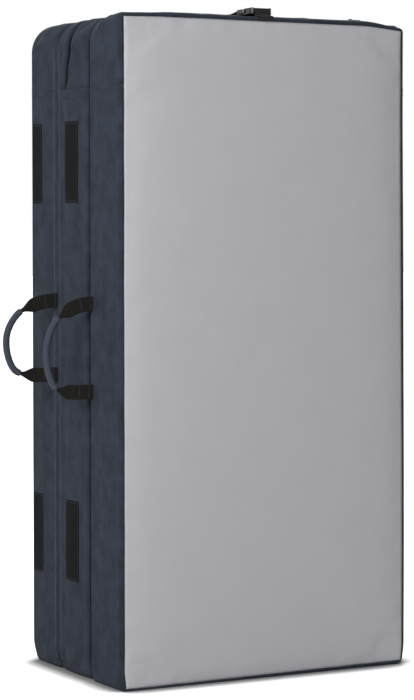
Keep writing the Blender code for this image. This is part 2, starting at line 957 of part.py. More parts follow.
def add_harness(side, label, materials, panel, frame):
    """One shoulder strap with its adjuster, its lower webbing and its sewn tab."""
    middle_x = side * strap_spacing / 2
    near = shoulder_axis_depth()
    height = pad_top_height - pad_bottom_height
    corners = []
    for out, down in pad_route_shares:
        corners.append((middle_x, near + pad_bow * out, pad_top_height - height * down))
    route, length = spaced(smooth_route(corners, 5), 16)
    rings = []
    for index, point in enumerate(route):
        before = route[max(index - 1, 0)]
        after = route[min(index + 1, len(route) - 1)]
        from_end = min(index, len(route) - 1 - index)
        half_thick = pad_thickness / 2 * pad_end_shares[min(from_end, 3)]
        ring = pad_section(point, (after - before).normalized(), half_thick)
        rings.append(ring)
    loft(label + "_shoulder_strap", rings, materials["pad"], frame)
    end = route[-1]
    half_adjuster = adjuster_width / 2
    top = end.z - 3 * clearance
    place = buckle_place((middle_x, end.y, top), (0.0, 0.0, -1.0), (1.0, 0.0, 0.0), (0.0, 1.0, 0.0))
    half_thick = adjuster_thickness / 2
    body = prism(
        label + "_strap_adjuster",
        bevelled_outline(half_adjuster, 0.0, adjuster_length, buckle_bevel),
        -half_thick,
        half_thick,
        place,
        materials["plastic"],
        frame,
    )
    half_slot = webbing_width / 2 + buckle_bevel / 2
    upper = (bar_length, bar_length + slot_length)
    lower = (adjuster_length - bar_length - slot_length, adjuster_length - bar_length)
    for name, along in (("_upper_slot", upper), ("_lower_slot", lower)):
        cutter = block(
            label + name,
            along,
            (-half_slot, half_slot),
            (-buckle_thickness, buckle_thickness),
            place,
            materials["plastic"],
            frame,
        )
        combine(body, cutter, "DIFFERENCE")
    radius = wrap_radius(adjuster_thickness)
    bar_z = top - adjuster_length + bar_length / 2
    tab_x = side * tab_spread / 2
    tab_top = tab_height + tab_size / 2
    path = []
    for angle in range(wrap_steps + 1):
        turn = math.radians(180 * angle / wrap_steps)
        path.append((middle_x, end.y + radius * math.cos(turn), bar_z + radius * math.sin(turn)))
    path.insert(0, (middle_x, end.y + radius, bar_z - strap_tail))
    drop = bar_z - tab_top
    finish = rear_face + tab_thickness + 3 * clearance + strap_thickness / 2
    lower_points = [(middle_x, end.y - radius, bar_z - bar_length)]
    for down, out in lower_route_shares:
        across = middle_x + (tab_x - middle_x) * down
        lower_points.append((across, finish + lower_webbing_bow * out, bar_z - drop * down))
    lower_points.append((tab_x, finish, tab_top - clearance))
    path += smooth_route(lower_points, 3)
    path.append((tab_x, finish, tab_top - tab_size / 2))
    ribbon(
        label + "_lower_webbing",
        path,
        (1.0, 0.0, 0.0),
        webbing_width,
        strap_thickness,
        materials["webbing"],
        panel["frame"],
    )
    low = tab_height - tab_size / 2
    half_tab = tab_size / 2
    back = rear_face + clearance
    rings = []
    for depth in (back, back + tab_thickness):
        rings.append(
            [
                (tab_x - half_tab, depth, low),
                (tab_x + half_tab, depth, low),
                (tab_x + half_tab, depth, low + tab_size / 2),
                (tab_x + webbing_width / 2, depth, tab_top),
                (tab_x - webbing_width / 2, depth, tab_top),
                (tab_x - half_tab, depth, low + tab_size / 2),
            ]
        )
    loft(label + "_webbing_tab", rings, materials["trim"], panel["frame"], smooth=False)


def add_yoke(materials, panel):
    """The patch on the rear face that the shoulder straps are sewn to."""
    back = rear_face + clearance
    half_yoke = yoke_width / 2
    low = pad_top_height - yoke_height * 3 / 4
    outline = bevelled_outline(half_yoke, low, low + yoke_height, yoke_height / 6)
    rings = []
    for depth in (back, back + yoke_thickness):
        rings.append([(x, depth, z) for z, x in outline])
    loft("harness_yoke", rings, materials["trim"], panel["frame"], smooth=False)


def add_waist_belt(materials, frame):
    """Two webbings that meet at a buckle, hanging in a shallow curve across the rear face."""
    depth = rear_face + buckle_thickness / 2 + clearance
    low = belt_height - belt_droop
    total = female_length + clearance + male_length
    place = buckle_place(
        (-total / 2, depth, low), (1.0, 0.0, 0.0), (0.0, 0.0, 1.0), (0.0, 1.0, 0.0)
    )
    female = add_female_buckle("belt_buckle_female", place, materials["plastic"], frame)
    thin_bar("belt_female", female, (-buckle_setback, bar_length), place, materials["plastic"], frame)
    male = add_male_buckle("belt_buckle_male", place, materials["plastic"], frame)
    thin_bar(
        "belt_male",
        male,
        (total - bar_length, total + buckle_setback),
        place,
        materials["plastic"],
        frame,
    )
    radius = wrap_radius(bar_length)
    steps = 8
    for side, label in ((-1, "left"), (1, "right")):
        bar_x = side * (total / 2 - bar_length / 2)
        root_x = side * belt_span / 2
        root_depth = rear_face + clearance + strap_thickness / 2
        path = []
        for step in range(steps):
            share = 1 - step / steps
            across = bar_x + (root_x - bar_x) * share
            back = depth - radius + (root_depth - depth + radius) * share
            path.append((across, back, belt_height - belt_droop * (1 - share * share)))
        for out, back in wrap(0.0, depth, radius, -90, 90):
            path.append((bar_x - side * out, back, low))
        path.append((bar_x + side * strap_tail / 2, depth - radius + 2 * strap_thickness, low))
        ribbon(
            label + "_belt_webbing",
            path,
            (0.0, 0.0, 1.0),
            strap_width,
            strap_thickness,
            materials["webbing"],
            frame,
        )


def make_panel(name, middle, face_side, frame, **extra):
    """What sets one panel apart: its place, which way its landing face looks and its corners."""
    panel = {"name": name, "middle": middle, "face_side": face_side, "frame": frame}
    panel["half"] = half_seam
    panel["front_crown"] = inner_crown
    panel["back_crown"] = inner_crown
    panel["front_radius"] = corner_radius
    panel["back_radius"] = corner_radius
    panel["zip_round_corners"] = False
    panel.update(extra)
    return panel


def build():
    clear_scene()
    colours = {
        "grey": make_material("grey_face", (0.42, 0.42, 0.43), 0.75),
        "dark": make_material("dark_cover", (0.045, 0.050, 0.068), 0.8),
        "trim": make_material("dark_trim", (0.035, 0.039, 0.052), 0.8),
        "webbing": make_material("black_webbing", (0.012, 0.012, 0.013), 0.7),
        "grip": make_material("grip_sleeve", (0.045, 0.050, 0.060), 0.7),
        "plastic": make_material("black_plastic", (0.015, 0.015, 0.016), 0.45),
        "zip": make_material("zip_chain", (0.010, 0.010, 0.012), 0.5),
        "slider": make_material("zip_slider", (0.03, 0.03, 0.03), 0.4, 0.8),
        "hook": make_material("hook_tape", (0.010, 0.010, 0.011), 0.9),
        "loop": make_material("loop_tape", (0.012, 0.012, 0.013), 0.95),
        "pad": make_material("strap_pad", (0.035, 0.039, 0.052), 0.85),
        "face": make_material("closed_cell_face", (0.10, 0.10, 0.11), 0.9),
        "core": make_material("open_cell_core", (0.75, 0.70, 0.45), 0.95),
        "base": make_material("closed_cell_base", (0.12, 0.12, 0.13), 0.9),
    }
    middle_frame = make_frame("middle_panel_frame", (0.0, 0.0, 0.0))
    left_axis = (left_axis_x, pitch / 2, 0.0)
    rear_frame = make_frame("rear_panel_axis", left_axis, middle_frame)
    front_frame = make_frame("front_panel_axis", (right_axis_x, -pitch / 2, 0.0), middle_frame)
    rear_handle_frame = make_frame("rear_handle_axis", left_axis, middle_frame)
    front_handle_y = -pitch / 2 - front_handle_step
    front_wall = half_width + side_bulge * bulge_share(pitch + front_handle_y)
    front_root = -front_wall - 2 * clearance
    front_axis = (front_root - handle_pivot_inset, front_handle_y, front_handle_height)
    front_handle_frame = make_frame("front_handle_axis", front_axis, front_frame)
    panels = {
        "rear": make_panel(
            "rear",
            rear_middle,
            -1,
            rear_frame,
            half=rear_half_seam,
            back_crown=outer_crown,
        ),
        "middle": make_panel("middle", 0.0, 1, middle_frame, zip_round_corners=True),
        "front": make_panel(
            "front",
            -pitch,
            -1,
            front_frame,
            front_crown=outer_crown,
            front_radius=front_corner_radius,
        ),
    }
    for name, panel in panels.items():
        for side in (-1, 1):
            landing = side == panel["face_side"]
            sheet = "_face_sheet" if landing else "_back_sheet"
            add_face(panel, side, name + sheet, colours["grey" if landing else "dark"])
        add_boxing(panel, colours["dark"])
        add_zip_boxing(panel, colours["dark"])
        add_zip(panel, colours["zip"])
        slider_depth = panel["middle"] + zip_offset
        slider_place = (half_width - slider_wall_inset, slider_depth, slider_floor(panel))
        slider_frame = make_frame(name + "_slider_frame", slider_place, panel["frame"])
        add_slider(panel, colours["slider"], slider_frame)
        add_foam(panel, colours)
    add_patches(panels, colours)
    add_hinge_tape("left_hinge_tape", -1, pitch / 2, colours["dark"], middle_frame)
    add_hinge_tape("right_hinge_tape", 1, -pitch / 2, colours["dark"], middle_frame)
    place = (tape_back(-1) - 2 * clearance, pitch / 2, rear_handle_height)
    add_handle(
        "rear_handle", place, rear_handle_span, rear_handle_reach, colours, rear_handle_frame
    )
    place = (front_root, front_handle_y, front_handle_height)
    add_handle(
        "front_handle", place, front_handle_span, front_handle_reach, colours, front_handle_frame
    )
    add_closure_strap(panels, colours)
    add_yoke(colours, panels["rear"])
    for side, label in ((-1, "left"), (1, "right")):
        strap_frame = make_frame(
            label + "_shoulder_axis",
            (side * strap_spacing / 2, shoulder_axis_depth(), pad_top_height),
            rear_frame,
        )
        add_harness(side, label, colours, panels["rear"], strap_frame)
    belt_axis = (0.0, rear_face + clearance, belt_height + strap_width / 2)
    belt_frame = make_frame("waist_belt_axis", belt_axis, rear_frame)
    add_waist_belt(colours, belt_frame)
    bpy.context.view_layer.update()


build()
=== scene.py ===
"""A bouldering crash pad: three foam panels in a Z fold, closed and standing on its end.

X is the width with the handles at -X, Y the depth with the front face at -Y, Z is up.
"""

import math

import bmesh
import bpy
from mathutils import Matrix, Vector, noise
from mathutils.bvhtree import BVHTree


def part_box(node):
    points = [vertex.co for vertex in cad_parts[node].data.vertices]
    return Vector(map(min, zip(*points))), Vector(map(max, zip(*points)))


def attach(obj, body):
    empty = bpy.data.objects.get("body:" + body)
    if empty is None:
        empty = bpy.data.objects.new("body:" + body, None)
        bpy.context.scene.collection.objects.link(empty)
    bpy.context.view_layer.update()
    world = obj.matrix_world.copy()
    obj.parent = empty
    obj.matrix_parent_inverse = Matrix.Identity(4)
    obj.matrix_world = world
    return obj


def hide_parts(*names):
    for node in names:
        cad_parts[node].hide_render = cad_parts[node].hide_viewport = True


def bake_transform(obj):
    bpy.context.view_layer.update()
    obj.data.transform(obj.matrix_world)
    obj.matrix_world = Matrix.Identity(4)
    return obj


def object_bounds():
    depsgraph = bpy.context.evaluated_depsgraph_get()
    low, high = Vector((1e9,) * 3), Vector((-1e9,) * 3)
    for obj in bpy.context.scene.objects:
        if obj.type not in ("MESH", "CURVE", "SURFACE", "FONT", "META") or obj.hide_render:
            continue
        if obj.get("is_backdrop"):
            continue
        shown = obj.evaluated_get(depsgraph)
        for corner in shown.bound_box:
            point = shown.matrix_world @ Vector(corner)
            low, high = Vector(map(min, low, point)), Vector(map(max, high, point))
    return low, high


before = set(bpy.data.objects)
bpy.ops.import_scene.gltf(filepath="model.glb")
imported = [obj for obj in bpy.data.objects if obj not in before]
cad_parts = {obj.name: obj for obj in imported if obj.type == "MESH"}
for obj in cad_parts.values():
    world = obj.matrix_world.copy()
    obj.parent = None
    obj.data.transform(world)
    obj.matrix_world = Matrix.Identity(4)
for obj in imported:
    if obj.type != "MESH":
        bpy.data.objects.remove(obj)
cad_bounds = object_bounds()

# Foam
# Every panel holds a stiff closed-cell sheet on its landing side, a thick open-cell core and a
# thin closed-cell sheet at its back. They are sawn from block and lie loose on each other.


def linear(code):
    """An sRGB hex colour as linear light."""
    values = [int(code[start : start + 2], 16) / 255 for start in (1, 3, 5)]
    return (*(v / 12.92 if v <= 0.04045 else ((v + 0.055) / 1.055) ** 2.4 for v in values), 1.0)


def give(tree, node, inputs):
    """Sets a node's inputs, or links them to a socket or to another node's first output."""
    for name, value in inputs.items():
        if isinstance(value, bpy.types.Node):
            value = next(socket for socket in value.outputs if socket.enabled)
        if isinstance(value, bpy.types.NodeSocket):
            tree.links.new(value, node.inputs[name])
        else:
            node.inputs[name].default_value = value


def add_node(tree, kind, inputs=None, **settings):
    """Adds a node with its settings and its inputs."""
    node = tree.nodes.new(kind)
    for name, value in settings.items():
        setattr(node, name, value)
    give(tree, node, inputs or {})
    return node


def start_material(name, roughness, specular=0.5, sheen=0.0):
    """A new material with its node tree and shader."""
    material = bpy.data.materials.new(name)
    material.use_nodes = True
    shader = material.node_tree.nodes["Principled BSDF"]
    values = {"Roughness": roughness, "Specular IOR Level": specular, "Sheen Weight": sheen}
    give(material.node_tree, shader, values)
    return material, material.node_tree, shader


def surface(tree, shader, colour, height, distance, strength, under=None):
    """Gives a shader its colour and its relief, which may lie over a finer one."""
    relief = {"Height": height, "Distance": distance, "Strength": strength}
    if under is not None:
        relief["Normal"] = under
    relief = add_node(tree, "ShaderNodeBump", relief)
    give(tree, shader, {"Base Color": colour, "Normal": relief})


def worn(tree, place, base, lighter, most, span, scale, detail, rough=0.5):
    """A colour that goes lighter in patches, as dust and wear leave it."""
    slow = {"Vector": place, "Scale": scale, "Detail": detail, "Roughness": rough}
    slow = add_node(tree, "ShaderNodeTexNoise", slow)
    share = {"Value": slow, "From Min": span[0], "From Max": span[1], "To Max": most}
    share = add_node(tree, "ShaderNodeMapRange", share)
    return add_node(tree, "ShaderNodeMix", {0: share, 6: base, 7: lighter}, data_type="RGBA")


def foam_material(name, light, dark, pore):
    """Sawn foam: matt, with open pores of a real size."""
    material, tree, shader = start_material(name, 0.95, 0.2)
    place = add_node(tree, "ShaderNodeTexCoord").outputs["Object"]
    pores = add_node(tree, "ShaderNodeTexVoronoi", {"Vector": place, "Scale": 1 / pore})
    colour = {0: pores, 6: linear(light), 7: linear(dark)}
    colour = add_node(tree, "ShaderNodeMix", colour, data_type="RGBA")
    surface(tree, shader, colour, pores, pore / 2, 0.6)
    return material


closed_cell = foam_material("polyethylene_closed_cell_foam", "#5a5b5f", "#4a4b4f", 0.0012)
open_cell = foam_material("polyurethane_open_cell_foam", "#e6dba8", "#cbbd84", 0.0025)
for panel in ("rear", "middle", "front"):
    for sheet, foam in (("face", closed_cell), ("core", open_cell), ("base", closed_cell)):
        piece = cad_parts[f"{panel}_foam_{sheet}"]
        piece.material_slots[0].material = foam

# Panel covers
# Heavy woven polyester: a light grey coated cloth on the landing side, a dark blue-grey one on
# the back and round the walls. Sewn inside out and turned, so the seams are drawn in and the
# foam fills the cloth out between them.

panel_width = 0.557
panel_height = 1.131
seam_thickness = 0.118
rear_seam_thickness = 0.106
inner_crown = 0.0024
outer_crown = 0.0050
panel_gap = 0.0006
crown_reach = 0.120
seam_roll = 0.0012
roll_reach = 0.004
edge_radius = 0.009
seam_inset = 0.006
seam_depth = 0.0010
groove_depth = 0.0034
groove_reach = 0.012
groove_edge = 0.12
groove_foot = 0.025
hole_height = 1.106
hole_size = 0.014
hole_edge = 0.24
hole_fade = 0.02
side_bulge = 0.003
top_bulge = 0.007
corner_radius = 0.048
front_corner_radius = 0.005
bottom_corner_radius = 0.004
top_drop = {-1: 0.002, 1: 0.008}
top_drop_reach = 0.085
far_drop = 0.35
foot_drop = 0.0035
foot_reach = 0.06
side_bow = 0.0072
bow_top = 1.08
bow_length = 0.95
side_swell = 0.0060
swell_height = 0.72
swell_length = 0.25
swell_depth = 0.022
bow_start = 0.05
shoulder_reach = {-1: 0.150, 1: 0.075}
pinch_reach = 0.036
pinch_lift = 0.0015
gather_reach = 0.026
gather_scale = 26
ripple_scale = 5
calm_height = 0.03
wall_gathers = 0.0007
face_gathers = {True: 0.0008, False: 0.0006}
seam_stray = 0.0005
stray_scale = 14
cross_height = 1.012
corner_zone = 0.054
corner_cells = 10
cell = 0.0102
cloth_thickness = 0.001
swell_cap = 0.0024
zip_half_width = 0.0105
zip_margin = 1.6
zip_lip = 0.0006
zip_recess = 0.0040
zip_offset = 0.009
zip_end_offset = 0.021
zip_start = 0.006
zip_taper = 0.028
shut_share = 0.35
half_width = panel_width / 2
half_seam = seam_thickness / 2
rear_half_seam = rear_seam_thickness / 2
pitch = seam_thickness + 2 * inner_crown + panel_gap
rear_middle = pitch - half_seam + rear_half_seam
rear_face = rear_middle + rear_half_seam + outer_crown
seam_angle = math.asin(1 - seam_inset / edge_radius)
wall_depth = edge_radius * math.cos(seam_angle)

panels = {
    "rear": {"middle": rear_middle, "half": rear_half_seam, "landing": -1, "outer": 1},
    "middle": {"middle": 0.0, "half": half_seam, "landing": 1, "outer": 0},
    "front": {"middle": -pitch, "half": half_seam, "landing": -1, "outer": -1},
}
corner_pinch = {"rear": 0.008, "middle": 0.007, "front": 0.005}


def clip(share):
    return min(max(share, 0.0), 1.0)


def ease(share):
    """From 0 to 1 with a soft start and end."""
    share = clip(share)
    return share * share * (3 - 2 * share)


def grid_line(stops):
    """A face's grid lines: (side, share, place), with a corner zone at both ends."""
    line = [(-1, 1 - step / corner_cells, 0.0) for step in range(corner_cells)]
    for start, end in zip(stops, stops[1:]):
        count = max(round((end - start) / cell), 1)
        line += [(0, 0.0, start + (end - start) * step / count) for step in range(count)]
    line.append((0, 0.0, stops[-1]))
    return line + [(1, (step + 1) / corner_cells, 0.0) for step in range(corner_cells)]


columns = grid_line([corner_zone - half_width, half_width - corner_zone])
rows = grid_line([corner_zone, cross_height, panel_height - corner_zone])


def corner_edge(share, radius, inset):
    """A point on one side of a corner's edge and the way it faces; share 1 is its middle."""
    straight = corner_zone - radius
    travel = share * (straight + radius * math.pi / 4)
    if travel <= straight:
        return Vector((corner_zone - inset, travel)), Vector((1.0, 0.0))
    turn = (travel - straight) / radius
    faces = Vector((math.cos(turn), math.sin(turn)))
    return Vector((straight, straight)) + faces * (radius - inset), faces


def radius_at(name, end, depth):
    """A corner's radius at a depth from the panel's middle: the top ones are the rounder ones."""
    radius = corner_radius
    if name == "front":
        share = (depth + half_seam) / seam_thickness
        radius = front_corner_radius + (corner_radius - front_corner_radius) * share
    return min(radius, bottom_corner_radius) if end < 0 else radius


def place_in(side, end, across, up):
    """A corner zone's own point in the panel's plane."""
    x = side * (half_width - corner_zone + across)
    return x, (panel_height - corner_zone + up if end > 0 else corner_zone - up)


def face_place(name, column, row, depth, inset):
    """Where a grid crossing of a face lies, as (x, z)."""
    side, across, x = column
    end, up, z = row
    reach = corner_zone - inset
    corner_x, corner_z = place_in(side, end, across * reach, up * reach)
    if side == 0 or end == 0:
        return (x if side == 0 else corner_x), (z if end == 0 else corner_z)
    radius = radius_at(name, end, depth)
    wall, cap, tip = (corner_edge(share, radius, inset)[0] for share in (up, across, 1.0))
    spot = Vector((cap.y, cap.x)) * up + wall * across - tip * (across * up)
    return place_in(side, end, spot.x, spot.y)


def edge_place(name, column, row, on_wall, depth, inset):
    """Where a station of the outline lies, as (x, z), and the way its wall faces."""
    side, across, x = column
    end, up, z = row
    if on_wall and end == 0:
        return side * (half_width - inset), z, side, 0.0
    if not on_wall and side == 0:
        return x, (panel_height - inset if end > 0 else inset), 0.0, float(end)
    spot, faces = corner_edge(up if on_wall else across, radius_at(name, end, depth), inset)
    if not on_wall:
        spot, faces = Vector((spot.y, spot.x)), Vector((faces.y, faces.x))
    return (*place_in(side, end, spot.x, spot.y), side * faces.x, end * faces.y)


last_column = len(columns) - 1
last_row = len(rows) - 1
stations = [(i, 0, False) for i in range(last_column)]
stations += [(last_column, k, True) for k in range(last_row)]
stations += [(i, last_row, False) for i in range(last_column, 0, -1)]
stations += [(0, k, True) for k in range(last_row, 0, -1)]


def zip_open(name, x, z, up):
    """How far open the zip's slit is at a place on the outline, from 0 to 1."""
    if name == "middle":
        return clip((z - cross_height + zip_start) / zip_taper)
    return clip((half_width - corner_radius - abs(x)) / zip_taper) if up > 0.5 else 0.0


def slit_share(opened):
    return shut_share + (1 - shut_share) * opened


def zip_centre(name, z):
    """The slit's distance from the panel's middle: it starts further back and bends forwards."""
    if name != "middle":
        return zip_offset
    bend = ease((z - cross_height - zip_taper) / (1.4 * zip_taper))
    return zip_end_offset + (zip_offset - zip_end_offset) * bend


def pinch(name, x, z):
    """The bottom corners' seams are drawn in: the sides bend inwards just above the floor."""
    low = max(1 - z / pinch_reach, 0.0)
    side = max(1 - (half_width - abs(x)) / pinch_reach, 0.0)
    moved = corner_pinch[name] * low**1.3 * side
    lift = pinch_lift * side * side * low
    if name == "front":
        lift -= foot_drop * (half_width - x) / panel_width * max(1 - z / foot_reach, 0.0)
    return x - math.copysign(moved, x), z + lift


def slack(name, depth, x, z):
    """The front panel's free seam, as (x, z): its top corners are drawn down, and its right side
    stands out in a long low curve, fuller above the middle. Both fade towards the hinge seam."""
    if name != "front":
        return 0.0, 0.0
    near = (half_seam - depth) / seam_thickness
    high = clip(1 - (panel_height - z) / top_drop_reach)
    out = clip(1 - (half_width - abs(x)) / top_drop_reach)
    drop = top_drop[1 if x > 0 else -1] * high * out**1.5 * (far_drop + (1 - far_drop) * near)
    if x < 0:
        return 0.0, -drop
    seam = side_bow * ease((bow_top - z) / bow_length)
    swell = side_swell * math.exp(-(((z - swell_height) / swell_length) ** 2))
    swell *= ease((depth + half_seam) / swell_depth)
    right = ease((x - bow_start) / (half_width - bow_start))
    return (seam + swell) * near * right, -drop


edge_shares = (0.0, 0.25, 0.5, 0.75)
run_shares = (0.0, 0.25, 0.5, 0.75, 1.0)
slit_shares = ((-1.0, 1), (-0.96, 2), (-0.88, 3), (0.88, 3), (0.96, 2), (1.0, 1))


def wall_section(half, centre):
    """The wall from seam to seam, as (depth, inset, zip row)."""
    edge = []
    for share in edge_shares:
        angle = seam_angle + (math.pi / 2 - seam_angle) * share
        depth = wall_depth - half - edge_radius * math.cos(angle)
        edge.append((depth, edge_radius * (1 - math.sin(angle)), 0))
    low = centre - zip_margin * zip_half_width
    high = centre + zip_margin * zip_half_width
    runs = []
    for first, last in ((wall_depth - half, low), (high, half - wall_depth)):
        runs.append([(first + (last - first) * share, 0.0, 0) for share in run_shares])
    slit = [(centre + share * zip_half_width, 0.0, kind) for share, kind in slit_shares]
    back = [(-depth, inset, 0) for depth, inset, _ in reversed(edge)]
    return edge + runs[0] + slit + runs[1] + back


wall_rows = len(wall_section(half_seam, zip_offset))


def pucker(x, y, z, inside, size):
    """Shallow gathers that the seam draws into the cloth, running out within centimetres."""
    near = math.exp(-inside / gather_reach)
    run = noise.noise(Vector((x * gather_scale, y * gather_scale, z * gather_scale)))
    slow = noise.noise(Vector((x * ripple_scale + 7, y * ripple_scale, z * ripple_scale)))
    return size * (near * run + 0.5 * slow)


def wall_point(name, station, number, depth=None, lift=0.0):
    """A point of a wall's cloth, and whether the sewing or the zip holds it there."""
    i, k, on_wall = station
    half = panels[name]["half"]
    middle = panels[name]["middle"]
    _, high, _, _ = edge_place(name, columns[i], rows[k], on_wall, 0.0, 0.0)
    centre = zip_centre(name, high)
    inset, kind = 0.0, 0
    if depth is None:
        depth, inset, kind = wall_section(half, centre)[number]
    x, z, across, up = edge_place(name, columns[i], rows[k], on_wall, depth, inset)
    place = depth
    opened = 0.0
    if kind:
        opened = zip_open(name, x, z, up)
        place = centre + (depth - centre) * slit_share(opened)
        lift -= (0.0, 0.0, zip_lip, zip_recess)[kind] * opened
    share = math.sin(math.pi * (depth + half) / (2 * half))
    dome = ease((half_width - abs(x)) / shoulder_reach[1 if x > 0 else -1])
    bulge = (side_bulge * abs(across) + top_bulge * max(up, 0.0) * dome) * share + lift
    gathers = wall_gathers * share * min(z / calm_height, 1.0)
    bulge += pucker(x, middle + depth, z, 3 * wall_depth * share, gathers)
    held = inset > 0 or opened > 0 or z < cell
    out, lower = slack(name, depth, x, z)
    x, z = pinch(name, x + across * bulge, z + up * bulge)
    return Vector((x + out, middle + place, max(z + lower, 0.0))), held


def crown_at(name, side, x, z):
    """A face's height above its seam: a small roll at the seam, then the foam's own crown."""
    crown = outer_crown if panels[name]["outer"] == side else inner_crown
    radius = radius_at(name, 1 if z > panel_height / 2 else -1, side * panels[name]["half"])
    across = half_width - abs(x)
    up = min(z, panel_height - z)
    distance = min(across, up)
    if across < radius and up < radius:
        distance = radius - math.hypot(radius - across, radius - up)
    inside = max(distance - seam_inset, 0.0)
    rise = math.sin(math.pi / 2 * min(inside / crown_reach, 1.0))
    roll = seam_roll * (1 - math.exp(-inside / roll_reach))
    return roll + (crown - seam_roll) * rise, inside


def groove(name, side, point):
    """How much further the seams beside the free crease on the left are drawn apart: more towards
    the floor, most at the crease's foot and in the small hole at its top."""
    if (name, side) not in (("front", 1), ("middle", -1)):
        return 0.0
    left = ease((-point.x - groove_edge) / groove_edge)
    low = 0.7 + 0.5 * (1 - point.z / panel_height) + math.exp(-point.z / groove_foot)
    hole = 1.4 * math.exp(-(((point.z - hole_height) / hole_size) ** 2))
    hole *= ease((-point.x - hole_edge) / hole_fade)
    return groove_depth * left * (low + hole)


def cover_points(name):
    """All the points of a panel's cover, walls row by row and then both faces."""
    middle = panels[name]["middle"]
    half = panels[name]["half"]
    wall = [wall_point(name, station, row) for station in stations for row in range(wall_rows)]
    points = [point for point, _ in wall]
    held = [sewn for _, sewn in wall]
    numbers = {}
    for side in (-1, 1):
        outer = panels[name]["outer"] == side
        for i in range(1, last_column):
            for k in range(1, last_row):
                x, z = face_place(name, columns[i], rows[k], side * half, seam_inset)
                height, inside = crown_at(name, side, x, z)
                out, lower = slack(name, side * half, x, z)
                x, z = pinch(name, x, z)
                x, z = x + out, z + lower
                wave = pucker(x, side, z, inside, face_gathers[outer])
                height += wave if outer else -abs(wave)
                drawn = groove(name, side, Vector((x, 0.0, z)))
                height -= drawn * math.exp(-inside / groove_reach)
                numbers[(side, i, k)] = len(points)
                points.append(Vector((x, middle + side * (half + height), z)))
                in_corner = columns[i][0] != 0 and rows[k][0] != 0
                held.append(not outer or inside < roll_reach or in_corner)
    for index, (i, k, _) in enumerate(stations):
        for side, row in ((-1, 0), (1, wall_rows - 1)):
            number = index * wall_rows + row
            numbers[(side, i, k)] = number
            point = points[number]
            spot = Vector((point.x * stray_scale, point.z * stray_scale, side * 40))
            stray = seam_stray * noise.noise(spot)
            pull = seam_depth + groove(name, side, point)
            points[number] = point + Vector((stray, -side * pull, abs(stray)))
    return points, held, numbers


def cover_faces(numbers):
    """The quads of a cover, sorted by the cloth that each is cut from."""
    cut = {-1: [], 1: [], "boxing": [], "zip_boxing": []}
    for index, (_, k, _) in enumerate(stations):
        after = (index + 1) % len(stations)
        end, _, z = rows[min(k, stations[after][1])]
        above = end > 0 or (end == 0 and z > cross_height - cell / 2)
        for step in range(wall_rows - 1):
            a = index * wall_rows + step
            b = after * wall_rows + step
            cut["zip_boxing" if above else "boxing"].append((a, b, b + 1, a + 1))
    for side in (-1, 1):
        for i in range(last_column):
            for k in range(last_row):
                corners = ((i, k), (i + 1, k), (i + 1, k + 1), (i, k + 1))
                quad = [numbers[(side, *corner)] for corner in corners]
                cut[side].append(tuple(quad if side < 0 else reversed(quad)))
    return cut


def add_piece(name, mesh, material=None):
    """An object at the origin with its place in its mesh."""
    obj = bpy.data.objects.new(name, mesh)
    bpy.context.scene.collection.objects.link(obj)
    if material is not None:
        mesh.materials.append(material)
    return obj


def mesh_of(name, points, faces):
    """A smooth mesh of the points that the faces use, and which of the points those are."""
    used = sorted({number for quad in faces for number in quad})
    place = {number: index for index, number in enumerate(used)}
    quads = [[place[number] for number in quad] for quad in faces]
    mesh = bpy.data.meshes.new(name)
    mesh.from_pydata([points[number] for number in used], [], quads)
    mesh.shade_smooth()
    return mesh, used


cloth_settings = {
    "quality": 4, "mass": 0.4, "tension_stiffness": 60, "compression_stiffness": 60,
    "bending_stiffness": 4, "shrink_min": -0.003, "use_pressure": True,
    "uniform_pressure_force": 4, "vertex_group_mass": "sewn",
}
cloth_steps = 20


def settle(points, faces, held):
    """The cloth's own shape: foam presses it out between the sewn edges, which hold it."""
    mesh, used = mesh_of("cover_at_work", points, faces)
    obj = add_piece("cover_at_work", mesh)
    group = obj.vertex_groups.new(name="sewn")
    group.add([index for index, number in enumerate(used) if held[number]], 1.0, "REPLACE")
    settings = obj.modifiers.new("cloth", "CLOTH").settings
    for name, value in cloth_settings.items():
        setattr(settings, name, value)
    settings.effector_weights.gravity = 0
    scene = bpy.context.scene
    for step in range(cloth_steps):
        scene.frame_set(step + 1)
    done = obj.evaluated_get(bpy.context.evaluated_depsgraph_get()).data
    settled = list(points)
    for index, number in enumerate(used):
        move = done.vertices[index].co - points[number]
        if move.length > 0:
            move *= swell_cap * math.tanh(move.length / swell_cap) / move.length
        settled[number] = points[number] + move
        settled[number].z = max(settled[number].z, 0.0)
    scene.frame_set(1)
    bpy.data.objects.remove(obj, do_unlink=True)
    return settled


def thread_waves(tree, uv, lengths):
    """Waves along and across the cloth map, from -1 to 1, with lengths in metres."""
    parts = add_node(tree, "ShaderNodeSeparateXYZ", {"Vector": uv}).outputs
    waves = []
    for part, length in zip(parts, lengths):
        turn = {0: part, 1: 2 * math.pi / length}
        turn = add_node(tree, "ShaderNodeMath", turn, operation="MULTIPLY")
        waves.append(add_node(tree, "ShaderNodeMath", {0: turn}, operation="SINE"))
    return waves


